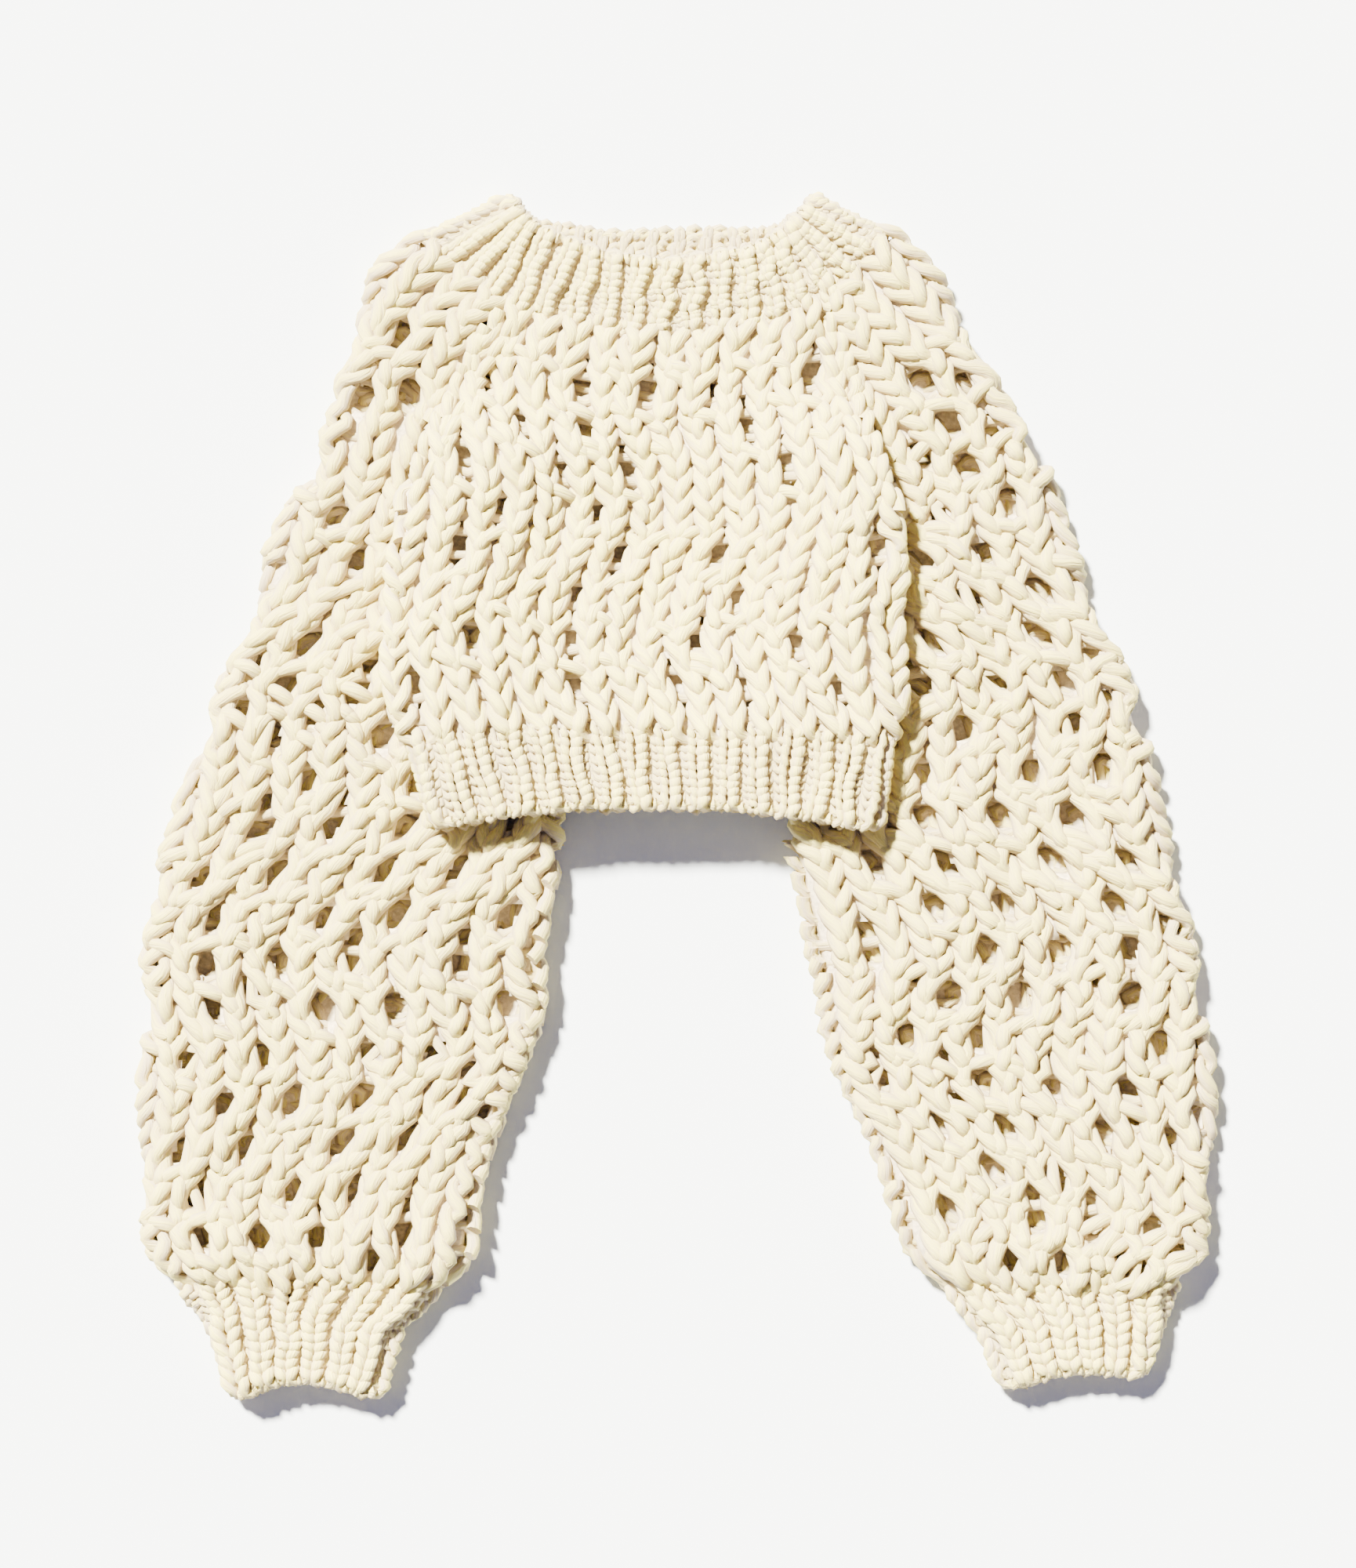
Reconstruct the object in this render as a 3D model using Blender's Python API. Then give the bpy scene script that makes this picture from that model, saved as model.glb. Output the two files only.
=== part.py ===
"""Hand-knit cropped pullover with balloon sleeves, laid flat on its back.

The tables are in millimetres and the meshes in metres, +Z up. Seen from above, +X is to
the right and +Y runs from the hem to the neck, and left and right are as seen from above.
The under layer rests on Z = 0. The front and back lie on the inner parts of the sleeves.

Every piece is a wall of chunky knitting lofted through cross-sections, one for each row
of its table. A station is one point of a cross-section: a place on the middle of the wall
and the direction in which the wall faces there.
"""

import math
from collections import namedtuple

import bmesh
import bpy
from mathutils import Vector

MM = 0.001

# Fabric, in millimetres.
WALL = 13.0            # two crossing yarns of 8.5 mm, pressed together
LAYER_GAP = 1.2        # air between the two layers of a flattened tube
SEAM_GAP = 0.3
FOLD_RADIUS = (WALL + LAYER_GAP) / 2
FOLD_INSET = FOLD_RADIUS + WALL / 2
MID_HEIGHT = WALL + LAYER_GAP / 2
PILE_HEIGHT = 2 * WALL + LAYER_GAP

# How far the body is raised where it lies on the sleeves.
BODY_LIFT = PILE_HEIGHT + 0.6
LIFT_MARGIN = 14.0     # kept at full height this far past the sleeve's fold
LIFT_TAPER = 68.0      # length of raglan over which the edge comes down to the surface

# Mesh steps.
QUARTER_STEPS = 3
SLEEVE_STEPS = 10
BODY_STEPS = 14
SHOULDER_STEPS = 3
CUFF_STEPS = 8
BAND_ROWS = 3
SEAM_SHIFT = 0.015     # fraction of a row's depth that makes SEAM_GAP between two pieces

WOOL_CREAM = (0.91, 0.86, 0.75, 1.0)
WOOL_ROUGHNESS = 0.95
SHARP_ANGLE = math.radians(40)

FACING_UP = 0.99       # a station that faces up more than this is on the upper layer

Station = namedtuple("Station", "place facing")
Fold = namedtuple("Fold", "start_x start_y end_x end_y width height")

# The body from the yoke (row 0) past the underarm (row 4) to the hem band's two edges
# (rows 8 and 9). A sag is how far the row's middle lies from the line between its ends.
BodyRow = namedtuple("BodyRow", "left_x left_y right_x right_y front_sag back_sag")
BODY = [
    BodyRow(-116, 323, 98, 322, -18, -3),
    BodyRow(-130, 299, 109, 299, -19, -15),
    BodyRow(-147, 268, 118, 268, -18, -18),
    BodyRow(-165, 231, 130, 231, -14, -14),
    BodyRow(-181, 192, 144, 190, -9, -9),
    BodyRow(-190, 148, 152, 143, -4, -4),
    BodyRow(-195, 101, 154, 96, 0, 0),
    BodyRow(-193, 68, 153, 65, 3, 3),
    BodyRow(-182, 36, 144, 35, 5, 5),
    BodyRow(-164, -22, 135, -24, 15, 15),
]
UNDERARM_ROW = 4
HEM_TOP_ROW = 8

# Outer fold of each sleeve from the yoke to the underarm, beside the body's rows 0 to 4.
CapRow = namedtuple("CapRow", "outer_x outer_y")
CAP_LEFT = [CapRow(-171, 369), CapRow(-200, 345), CapRow(-214, 304), CapRow(-228, 252), CapRow(-248, 203)]
CAP_RIGHT = [CapRow(140, 373), CapRow(169, 346), CapRow(188, 312), CapRow(218, 257), CapRow(246, 211)]

# Each sleeve from below the underarm to the cuff seam. Its inner fold starts under the body.
TubeRow = namedtuple("TubeRow", "outer_x outer_y inner_x inner_y")
TUBE_LEFT = [
    TubeRow(-269, 164, -168, 153),
    TubeRow(-283, 112, -142, 101),
    TubeRow(-312, 44, -108, 39),
    TubeRow(-337, -34, -78, -23),
    TubeRow(-351, -96, -88, -96),
    TubeRow(-352, -159, -91, -153),
    TubeRow(-355, -211, -110, -200),
    TubeRow(-353, -268, -130, -257),
    TubeRow(-342, -309, -142, -309),
    TubeRow(-326, -335, -165, -341),
    TubeRow(-314, -351, -182, -356),
]
TUBE_RIGHT = [
    TubeRow(262, 159, 136, 148),
    TubeRow(281, 109, 118, 101),
    TubeRow(307, 49, 95, 39),
    TubeRow(321, -23, 73, -23),
    TubeRow(338, -91, 87, -96),
    TubeRow(350, -159, 96, -153),
    TubeRow(355, -226, 118, -211),
    TubeRow(347, -289, 142, -268),
    TubeRow(336, -320, 160, -309),
    TubeRow(328, -336, 183, -338),
    TubeRow(325, -346, 197, -356),
]
TUBE_TOP_ROW = 3       # row of the tube tables at the hem band's lower edge

# Cast-on edge of each cuff: its two corners and how far its middle is drawn up.
CuffEdge = namedtuple("CuffEdge", "outer_x outer_y inner_x inner_y sag")
CUFF_LEFT = CuffEdge(-298, -397, -194, -397, 9)
CUFF_RIGHT = CuffEdge(313, -382, 214, -392, 6)

# Neck edge from the left shoulder's fold to the right one. Positions 2 and 6 face the
# upper ends of the raglans, and positions 0 and 8 are the folds.
NeckRow = namedtuple("NeckRow", "x front_y back_y")
NECK = [
    NeckRow(-114, 397, 397),
    NeckRow(-105, 384, 383),
    NeckRow(-93, 372, 373),
    NeckRow(-52, 353, 369),
    NeckRow(-4, 348, 369),
    NeckRow(45, 355, 369),
    NeckRow(73, 370, 373),
    NeckRow(81, 382, 383),
    NeckRow(92, 397, 397),
]
NECK_LEFT = 2
NECK_RIGHT = 6
NECK_END = 8

# Share of BODY_LIFT kept midway between the sleeves, by distance from the hem to the neck.
MIDDLE_LIFT = [(-30, 0.96), (39, 0.82), (101, 0.42), (148, 0.08), (175, 0.0)]

# Largest soft ridges of the sleeves' upper layer.
SLEEVE_FOLDS = [
    Fold(184, 165, 182, 60, 15, 5),
    Fold(196, 10, 178, -110, 18, 4),
    Fold(282, -30, 296, -190, 24, 4),
    Fold(-215, 90, -232, -30, 20, 4),
    Fold(-158, -78, -168, -160, 20, 5),
    Fold(-300, -70, -300, -220, 24, 4),
]


def smoothstep(value):
    value = min(max(value, 0.0), 1.0)
    return value * value * (3.0 - 2.0 * value)


def between(table, value):
    """Straight-line reading of a table of (key, value) pairs whose keys rise."""
    if value <= table[0][0]:
        return table[0][1]
    for (low, first), (high, second) in zip(table, table[1:]):
        if value <= high:
            return first + (second - first) * (value - low) / (high - low)
    return table[-1][1]


def sleeve_edge(side, tube):
    """Inner edge of a sleeve as (y, x) pairs from below the hem up to the yoke."""
    below = [(row.inner_y, row.inner_x) for row in tube[:TUBE_TOP_ROW + 1]]
    above = [(getattr(row, side + "_y"), getattr(row, side + "_x")) for row in BODY[:UNDERARM_ROW + 1]]
    return sorted(above + below)


LEFT_EDGE = sleeve_edge("left", TUBE_LEFT)
RIGHT_EDGE = sleeve_edge("right", TUBE_RIGHT)


def body_lift(x, y):
    """Height of the body's underside: full over the sleeves and lower between them."""
    left = between(LEFT_EDGE, y) + LIFT_MARGIN
    right = between(RIGHT_EDGE, y) - LIFT_MARGIN
    inward = min(x - left, right - x) / (0.5 * (right - left))
    bowl = smoothstep(inward)
    underarm_y = BODY[UNDERARM_ROW].left_y + LIFT_MARGIN
    edge = 1.0 - smoothstep((y - underarm_y) / LIFT_TAPER)
    return BODY_LIFT * (edge * (1.0 - bowl) + between(MIDDLE_LIFT, y) * bowl)


def fold_height(x, y):
    """Height of the soft ridges at a place on a sleeve's upper layer."""
    height = 0.0
    for fold in SLEEVE_FOLDS:
        start = Vector((fold.start_x, fold.start_y))
        along = Vector((fold.end_x, fold.end_y)) - start
        offset = Vector((x, y)) - start
        share = min(max(offset.dot(along) / along.length_squared, 0.0), 1.0)
        distance = (offset - along * share).length
        height = max(height, fold.height * math.exp(-(distance / fold.width) ** 2))
    return height


def mixed(first, second, share):
    """Row part way between two rows of one table."""
    return type(first)(*(a + (b - a) * share for a, b in zip(first, second)))


def finer(rows, start):
    """The rows with one more between each pair from start on, on a smooth curve."""
    result = rows[:start + 1]
    for index in range(start, len(rows) - 1):
        first, second = rows[index], rows[index + 1]
        before = rows[index - 1] if index > start else mixed(first, second, -1.0)
        after = rows[index + 2] if index + 2 < len(rows) else mixed(second, first, -1.0)
        columns = zip(before, first, second, after)
        middle = type(first)(*((9 * (b + c) - a - d) / 16 for a, b, c, d in columns))
        result += [middle, second]
    return result


def edge_strip(base, outward, curl, layer):
    """Stations from a run's end to the piece's edge.

    With curl 0 the strip runs on flat to the edge. With curl 1 it bends through a
    quarter turn, so that an upper layer (+1) and an under layer (-1) meet at the edge.
    """
    turn = curl * math.pi / 2
    length = FOLD_INSET + (FOLD_RADIUS * math.pi / 2 - FOLD_INSET) * curl
    stations = []
    for step in range(1, QUARTER_STEPS + 1):
        share = step / QUARTER_STEPS
        angle = turn * share
        if turn > 0:
            radius = length / turn
            reach, drop = radius * math.sin(angle), radius * (1 - math.cos(angle))
        else:
            reach, drop = length * share, 0.0
        drop = min(drop, FOLD_RADIUS - SEAM_GAP / 2)
        place = Vector((base.x + outward.x * reach, base.y + outward.y * reach,
                        MID_HEIGHT + layer * (FOLD_RADIUS - drop)))
        facing = Vector((outward.x * math.sin(angle), outward.y * math.sin(angle),
                         layer * math.cos(angle)))
        stations.append(Station(place, facing))
    return stations


def whole_fold(base, outward):
    """Stations round a fold from the upper layer to the under layer, both ends included."""
    steps = 2 * QUARTER_STEPS
    stations = []
    for step in range(steps + 1):
        angle = math.pi * step / steps
        facing = Vector((outward.x * math.sin(angle), outward.y * math.sin(angle), math.cos(angle)))
        place = Vector((base.x, base.y, MID_HEIGHT)) + facing * FOLD_RADIUS
        stations.append(Station(place, facing))
    return stations


def flat_run(places, layer):
    """Stations of one flat layer over a list of plan places."""
    height = MID_HEIGHT + layer * FOLD_RADIUS
    facing = Vector((0.0, 0.0, float(layer)))
    return [Station(Vector((place.x, place.y, height)), facing) for place in places]


def plan_line(start, end, steps):
    return [start.lerp(end, step / steps) for step in range(steps + 1)]


def bowed(places, start, end, sag):
    """Plan places moved along Y by a parabola that is zero at start and end."""
    result = []
    for place in places:
        share = (place.x - start.x) / (end.x - start.x)
        result.append(Vector((place.x, place.y + 4 * share * (1 - share) * sag)))
    return result


def loft_wall(name, sections, closed, upper_relief=None):
    """Closed wall through cross-sections; closed ones join their last station to the first."""
    mesh = bmesh.new()
    outside, inside = [], []
    for section in sections:
        outer_row, inner_row = [], []
        for place, facing in section:
            outer = place + facing * (WALL / 2)
            inner = place - facing * (WALL / 2)
            if upper_relief and facing.z > FACING_UP:
                outer.z += upper_relief(place.x, place.y)
            outer_row.append(mesh.verts.new(outer * MM))
            inner_row.append(mesh.verts.new(inner * MM))
        outside.append(outer_row)
        inside.append(inner_row)
    count = len(sections[0])
    spans = [(i, (i + 1) % count) for i in range(count if closed else count - 1)]
    for row in range(len(sections) - 1):
        for a, b in spans:
            top, low = outside[row], outside[row + 1]
            mesh.faces.new((top[a], top[b], low[b], low[a]))
            top, low = inside[row], inside[row + 1]
            mesh.faces.new((top[a], low[a], low[b], top[b]))
    for row, flip in ((0, True), (len(sections) - 1, False)):
        for a, b in spans:
            rim = (outside[row][a], outside[row][b], inside[row][b], inside[row][a])
            mesh.faces.new(rim[::-1] if flip else rim)
    if not closed:
        for row in range(len(sections) - 1):
            for end, flip in ((0, False), (count - 1, True)):
                rim = (outside[row][end], outside[row + 1][end], inside[row + 1][end], inside[row][end])
                mesh.faces.new(rim[::-1] if flip else rim)
    bmesh.ops.triangulate(mesh, faces=mesh.faces[:], quad_method="FIXED")
    bmesh.ops.recalc_face_normals(mesh, faces=mesh.faces[:])
    return add_piece(name, mesh)


def add_piece(name, mesh):
    """Object with its own wool material, placed at the middle of its own mesh."""
    centre = sum((vertex.co for vertex in mesh.verts), Vector()) / len(mesh.verts)
    centre = Vector((round(centre.x, 3), round(centre.y, 3), 0.0))
    bmesh.ops.translate(mesh, verts=mesh.verts[:], vec=-centre)
    data = bpy.data.meshes.new(name)
    mesh.to_mesh(data)
    mesh.free()
    data.materials.append(wool_material(name))
    data.shade_smooth()
    data.set_sharp_from_angle(angle=SHARP_ANGLE)
    piece = bpy.data.objects.new(name, data)
    piece.location = centre
    piece.parent = GARMENT
    bpy.context.scene.collection.objects.link(piece)
    return piece


def wool_material(name):
    material = bpy.data.materials.new(name + "_wool")
    material.use_nodes = True
    shader = material.node_tree.nodes["Principled BSDF"]
    shader.inputs["Base Color"].default_value = WOOL_CREAM
    shader.inputs["Roughness"].default_value = WOOL_ROUGHNESS
    shader.inputs["Metallic"].default_value = 0.0
    return material


def lifted(section):
    """The section raised where the body lies on the sleeves."""
    result = []
    for place, facing in section:
        lift = Vector((0.0, 0.0, body_lift(place.x, place.y)))
        result.append(Station(place + lift, facing))
    return result


def body_section(row, layer, curl, shrink=0.0):
    """One layer of the body, from its left edge to its right edge."""
    left = Vector((row.left_x + shrink, row.left_y))
    right = Vector((row.right_x - shrink, row.right_y))
    across = (right - left).normalized()
    start = left + across * FOLD_INSET
    end = right - across * FOLD_INSET
    stations = edge_strip(start, -across, curl, layer)[::-1]
    stations += flat_run(plan_line(start, end, BODY_STEPS), layer)
    stations += edge_strip(end, across, curl, layer)
    sag = row.front_sag if layer > 0 else row.back_sag
    places = bowed([station.place.xy for station in stations], left, right, sag)
    moved = []
    for place, station in zip(places, stations):
        moved.append(Station(Vector((place.x, place.y, station.place.z)), station.facing))
    return lifted(moved)


def body_panel(name, layer):
    """Front (+1) or back (-1), from the yoke's seam to the hem band's seam."""
    rows = finer(BODY[:HEM_TOP_ROW + 1], UNDERARM_ROW)
    first = mixed(rows[0], rows[1], SEAM_SHIFT)
    last = mixed(rows[-1], rows[-2], SEAM_SHIFT)
    sections = []
    for index, row in enumerate([first] + rows[1:-1] + [last]):
        curl = 1.0 if index > UNDERARM_ROW else 0.0
        sections.append(body_section(row, layer, curl, SEAM_GAP))
    return loft_wall(name, sections, closed=False)


def hem_band():
    """Ribbed band all round the body's lower edge."""
    sections = []
    for step in range(BAND_ROWS + 1):
        row = mixed(BODY[HEM_TOP_ROW], BODY[HEM_TOP_ROW + 1], step / BAND_ROWS)
        upper = body_section(row, 1, 1.0)
        under = body_section(row, -1, 1.0)
        sections.append(closed_ring(upper, under))
    return loft_wall("hem_rib", sections, closed=True)


def closed_ring(upper, under):
    """Joins two curled layers at their edges, with one shared station at each fold."""
    ring = upper[1:-1] + [halfway(upper[-1], under[-1])]
    return ring + under[1:-1][::-1] + [halfway(upper[0], under[0])]


def halfway(first, second):
    facing = (first.facing + second.facing).normalized()
    return Station((first.place + second.place) / 2, facing)


def sleeve_section(row, curl):
    """Round the sleeve: inner edge, upper layer, outer fold, under layer, inner edge."""
    inner = Vector((row.inner_x, row.inner_y))
    outer = Vector((row.outer_x, row.outer_y))
    across = (outer - inner).normalized()
    start = inner + across * (FOLD_INSET + SEAM_GAP)
    end = outer - across * FOLD_INSET
    run = plan_line(start, end, SLEEVE_STEPS)
    stations = edge_strip(start, -across, curl, 1)[::-1]
    stations += flat_run(run[:-1], 1)
    stations += whole_fold(end, across)
    stations += flat_run(run[:-1][::-1], -1)
    stations += edge_strip(start, -across, curl, -1)
    return stations


def sleeve(name, side, cap, tube):
    """Sheet from the yoke to the cuff, open above the underarm and a seamed tube below."""
    rows = []
    for cap_row, body_row in zip(cap, BODY):
        inner = (getattr(body_row, side + "_x"), getattr(body_row, side + "_y"))
        rows.append(TubeRow(cap_row.outer_x, cap_row.outer_y, *inner))
    rows = finer(rows + tube, UNDERARM_ROW)
    rows[0] = mixed(rows[0], rows[1], SEAM_SHIFT)
    rows[-1] = mixed(rows[-1], rows[-2], 2 * SEAM_SHIFT)
    sections = []
    for index, row in enumerate(rows):
        curl = 1.0 if index > UNDERARM_ROW else 0.0
        sections.append(sleeve_section(row, curl))
    return loft_wall(name, sections, closed=False, upper_relief=fold_height)


def cuff(name, seam, edge):
    """Ribbed tube from the sleeve's seam to the cast-on edge."""
    sections = []
    for step in range(BAND_ROWS + 1):
        share = step / BAND_ROWS
        inner = Vector((seam.inner_x, seam.inner_y)).lerp(Vector((edge.inner_x, edge.inner_y)), share)
        outer = Vector((seam.outer_x, seam.outer_y)).lerp(Vector((edge.outer_x, edge.outer_y)), share)
        across = (outer - inner).normalized()
        start = inner + across * FOLD_INSET
        end = outer - across * FOLD_INSET
        run = bowed(plan_line(start, end, CUFF_STEPS), start, end, edge.sag * share)
        ring = flat_run(run[1:-1], 1) + whole_fold(run[-1], across)
        ring += flat_run(run[1:-1][::-1], -1) + whole_fold(run[0], -across)[::-1]
        sections.append(ring)
    return loft_wall(name, sections, closed=True)


def neck_place(position, layer):
    index = min(int(position), NECK_END - 1)
    row = mixed(NECK[index], NECK[index + 1], position - index)
    return Vector((row.x, row.front_y if layer > 0 else row.back_y))


def yoke_edge(position, layer):
    """The yoke's outer edge: straight over each shoulder and bowed between the raglans."""
    top = BODY[0]
    raglan_left = Vector((top.left_x, top.left_y))
    raglan_right = Vector((top.right_x, top.right_y))
    if position <= NECK_LEFT:
        return Vector(CAP_LEFT[0]).lerp(raglan_left, position / NECK_LEFT)
    if position >= NECK_RIGHT:
        share = (position - NECK_RIGHT) / (NECK_END - NECK_RIGHT)
        return raglan_right.lerp(Vector(CAP_RIGHT[0]), share)
    share = (position - NECK_LEFT) / (NECK_RIGHT - NECK_LEFT)
    sag = top.front_sag if layer > 0 else top.back_sag
    place = raglan_left.lerp(raglan_right, share)
    return Vector((place.x, place.y + 4 * share * (1 - share) * sag))


def shoulder_outward(end, share):
    """Direction in which a shoulder's fold faces, from the neck (share 0) to the sleeve."""
    fold = Vector(CAP_LEFT[0] if end == 0 else CAP_RIGHT[0])
    raglan = yoke_edge(NECK_LEFT if end == 0 else NECK_RIGHT, 1)
    along = fold - neck_place(end, 1)
    at_neck = Vector((-abs(along.y) if end == 0 else abs(along.y), abs(along.x))).normalized()
    at_sleeve = (fold - raglan).normalized()
    return at_neck.lerp(at_sleeve, share).normalized()


def shoulder_positions():
    """Positions along the neck: few over each shoulder, more between the raglans."""
    left = [NECK_LEFT * step / SHOULDER_STEPS for step in range(SHOULDER_STEPS)]
    middle = [NECK_LEFT + (NECK_RIGHT - NECK_LEFT) * step / BODY_STEPS for step in range(BODY_STEPS + 1)]
    right = [NECK_END - position for position in left[::-1]]
    return left + middle + right


def yoke():
    """Ribbed ring from the neck edge out to the sleeves, the front and the back."""
    positions = shoulder_positions()
    sections = []
    for step in range(BAND_ROWS + 1):
        share = step / BAND_ROWS
        layers = {}
        for layer in (1, -1):
            places = []
            for position in positions:
                place = neck_place(position, layer).lerp(yoke_edge(position, layer), share)
                for end in (0, NECK_END):
                    pull = max(0.0, 1.0 - abs(position - end) / NECK_LEFT)
                    place = place - shoulder_outward(end, share) * FOLD_INSET * pull
                places.append(place)
            layers[layer] = places
        left, right = layers[1][0], layers[1][-1]
        ring = flat_run(layers[1][1:-1], 1) + whole_fold(right, shoulder_outward(NECK_END, share))
        ring += flat_run(layers[-1][1:-1][::-1], -1) + whole_fold(left, shoulder_outward(0, share))[::-1]
        sections.append(ring)
    return loft_wall("yoke_rib", sections, closed=True)


def clear_scene():
    for item in list(bpy.data.objects):
        bpy.data.objects.remove(item, do_unlink=True)


clear_scene()
GARMENT = bpy.data.objects.new("pullover", None)
bpy.context.scene.collection.objects.link(GARMENT)

body_panel("front", 1)
body_panel("back", -1)
sleeve("sleeve_left", "left", CAP_LEFT, TUBE_LEFT)
sleeve("sleeve_right", "right", CAP_RIGHT, TUBE_RIGHT)
yoke()
hem_band()
cuff("cuff_left", TUBE_LEFT[-1], CUFF_LEFT)
cuff("cuff_right", TUBE_RIGHT[-1], CUFF_RIGHT)
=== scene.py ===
"""Knit bolero: a chunky hand-knit cropped pullover with lace balloon sleeves, laid flat.

Every stitch is real yarn. The courses of each panel are laid as centre-lines on the
panel's own surface, loop by loop, and Geometry Nodes spin the yarn along them. Under the
yarn of each panel lies its ground, the thin cloth that closes the crevices and is open
at the lace holes. The ground's tan and the yarn's darker flanks and low parts are
painted shade.

Tables and lengths are in millimetres and meshes in metres, +Z up. Seen from above, +X is
to the right and +Y runs from the hem to the neck.
"""

import math
from collections import namedtuple

import bmesh
import bpy
import numpy as np
from bpy.props import FloatProperty, FloatVectorProperty, IntProperty, PointerProperty
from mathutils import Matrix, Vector


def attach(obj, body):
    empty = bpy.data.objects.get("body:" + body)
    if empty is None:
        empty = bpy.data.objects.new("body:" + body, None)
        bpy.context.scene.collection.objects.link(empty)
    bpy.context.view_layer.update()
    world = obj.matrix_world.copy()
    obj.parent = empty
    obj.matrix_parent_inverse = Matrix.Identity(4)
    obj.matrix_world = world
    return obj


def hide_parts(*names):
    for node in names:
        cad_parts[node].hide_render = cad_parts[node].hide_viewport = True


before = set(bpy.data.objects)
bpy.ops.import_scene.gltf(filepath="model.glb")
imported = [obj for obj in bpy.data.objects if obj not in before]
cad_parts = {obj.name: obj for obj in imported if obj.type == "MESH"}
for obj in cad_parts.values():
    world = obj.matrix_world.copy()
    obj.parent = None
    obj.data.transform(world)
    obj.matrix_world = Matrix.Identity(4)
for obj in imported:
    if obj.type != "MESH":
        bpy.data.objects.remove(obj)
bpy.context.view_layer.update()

bl_info = {
    "name": "Knit bolero",
    "version": (1, 0, 0),
    "blender": (4, 5, 0),
    "location": "View3D > Sidebar > Bolero",
    "description": "Knits a chunky cropped pullover stitch by stitch and lays it flat",
    "category": "Object",
}

MM = 0.001

# ---------------------------------------------------------------- cut of the garment
# The same tables as the model's, in millimetres, with finer steps and some more folds.

# Cloth of two crossing yarns pressed together, and the air between a flattened tube's layers.
WALL = 13.0
LAYER_GAP = 1.2
FOLD_RADIUS = (WALL + LAYER_GAP) / 2
FOLD_INSET = FOLD_RADIUS + WALL / 2
MID_HEIGHT = WALL + LAYER_GAP / 2
# How far the body is raised where it lies on the sleeves, how far past their folds it keeps
# that height, and the length of raglan over which its edge comes down to the surface.
BODY_LIFT = 2 * WALL + LAYER_GAP + 0.6
LIFT_MARGIN = 14.0
LIFT_TAPER = 68.0
# Steps in a quarter turn of a fold and along a flat run of cloth.
QUARTER_STEPS = 4
RUN_STEPS = 24

Station = namedtuple("Station", "place facing")
Fold = namedtuple("Fold", "start_x start_y end_x end_y width height")
BodyRow = namedtuple("BodyRow", "left_x left_y right_x right_y front_sag back_sag")
TubeRow = namedtuple("TubeRow", "outer_x outer_y inner_x inner_y")
NeckRow = namedtuple("NeckRow", "x front_y back_y")
CuffEdge = namedtuple("CuffEdge", "outer_x outer_y inner_x inner_y sag")

# The body from the yoke (row 0) past the underarm (row 4) to the hem band's two edges
# (rows 8 and 9). A sag is how far the row's middle lies from the line between its ends.
BODY = [
    BodyRow(-116, 323, 98, 322, -18, -3),
    BodyRow(-130, 299, 109, 299, -19, -15),
    BodyRow(-147, 268, 118, 268, -18, -18),
    BodyRow(-165, 231, 130, 231, -14, -14),
    BodyRow(-181, 192, 144, 190, -9, -9),
    BodyRow(-190, 148, 152, 143, -4, -4),
    BodyRow(-195, 101, 154, 96, 0, 0),
    BodyRow(-193, 68, 153, 65, 3, 3),
    BodyRow(-182, 36, 144, 35, 5, 5),
    BodyRow(-164, -22, 135, -24, 15, 15),
]
UNDERARM_ROW = 4
HEM_TOP_ROW = 8
# Outer fold of each sleeve from the yoke to the underarm, beside the body's rows 0 to 4.
CAP_LEFT = [(-171, 369), (-200, 345), (-214, 304), (-228, 252), (-248, 203)]
CAP_RIGHT = [(140, 373), (169, 346), (188, 312), (218, 257), (246, 211)]
# Each sleeve from below the underarm to the cuff seam. Its inner fold starts under the body.
TUBE_LEFT = [
    TubeRow(-269, 164, -168, 153),
    TubeRow(-283, 112, -142, 101),
    TubeRow(-312, 44, -108, 39),
    TubeRow(-337, -34, -78, -23),
    TubeRow(-351, -96, -88, -96),
    TubeRow(-352, -159, -91, -153),
    TubeRow(-355, -211, -110, -200),
    TubeRow(-353, -268, -130, -257),
    TubeRow(-342, -309, -142, -309),
    TubeRow(-326, -335, -165, -341),
    TubeRow(-314, -351, -182, -356),
]
TUBE_RIGHT = [
    TubeRow(262, 159, 136, 148),
    TubeRow(281, 109, 118, 101),
    TubeRow(307, 49, 95, 39),
    TubeRow(321, -23, 73, -23),
    TubeRow(338, -91, 87, -96),
    TubeRow(350, -159, 96, -153),
    TubeRow(355, -226, 118, -211),
    TubeRow(347, -289, 142, -268),
    TubeRow(336, -320, 160, -309),
    TubeRow(328, -336, 183, -338),
    TubeRow(325, -346, 197, -356),
]
# Row of the tube tables at the hem band's lower edge.
TUBE_TOP_ROW = 3
# Cast-on edge of each cuff: its two corners and how far its middle is drawn up.
CUFF_LEFT = CuffEdge(-298, -397, -194, -397, 9)
CUFF_RIGHT = CuffEdge(313, -382, 214, -392, 6)
# Neck edge from the left shoulder's fold to the right one. Positions 2 and 6 face the upper
# ends of the raglans, and positions 0 and 8 are the folds.
NECK = [
    NeckRow(-114, 397, 397),
    NeckRow(-105, 384, 383),
    NeckRow(-93, 372, 373),
    NeckRow(-52, 353, 369),
    NeckRow(-4, 348, 369),
    NeckRow(45, 355, 369),
    NeckRow(73, 370, 373),
    NeckRow(81, 382, 383),
    NeckRow(92, 397, 397),
]
NECK_LEFT = 2
NECK_RIGHT = 6
NECK_END = 8
# Share of BODY_LIFT kept midway between the sleeves, by Y.
MIDDLE_LIFT = [(-30, 0.96), (39, 0.82), (101, 0.42), (148, 0.08), (175, 0.0)]

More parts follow.
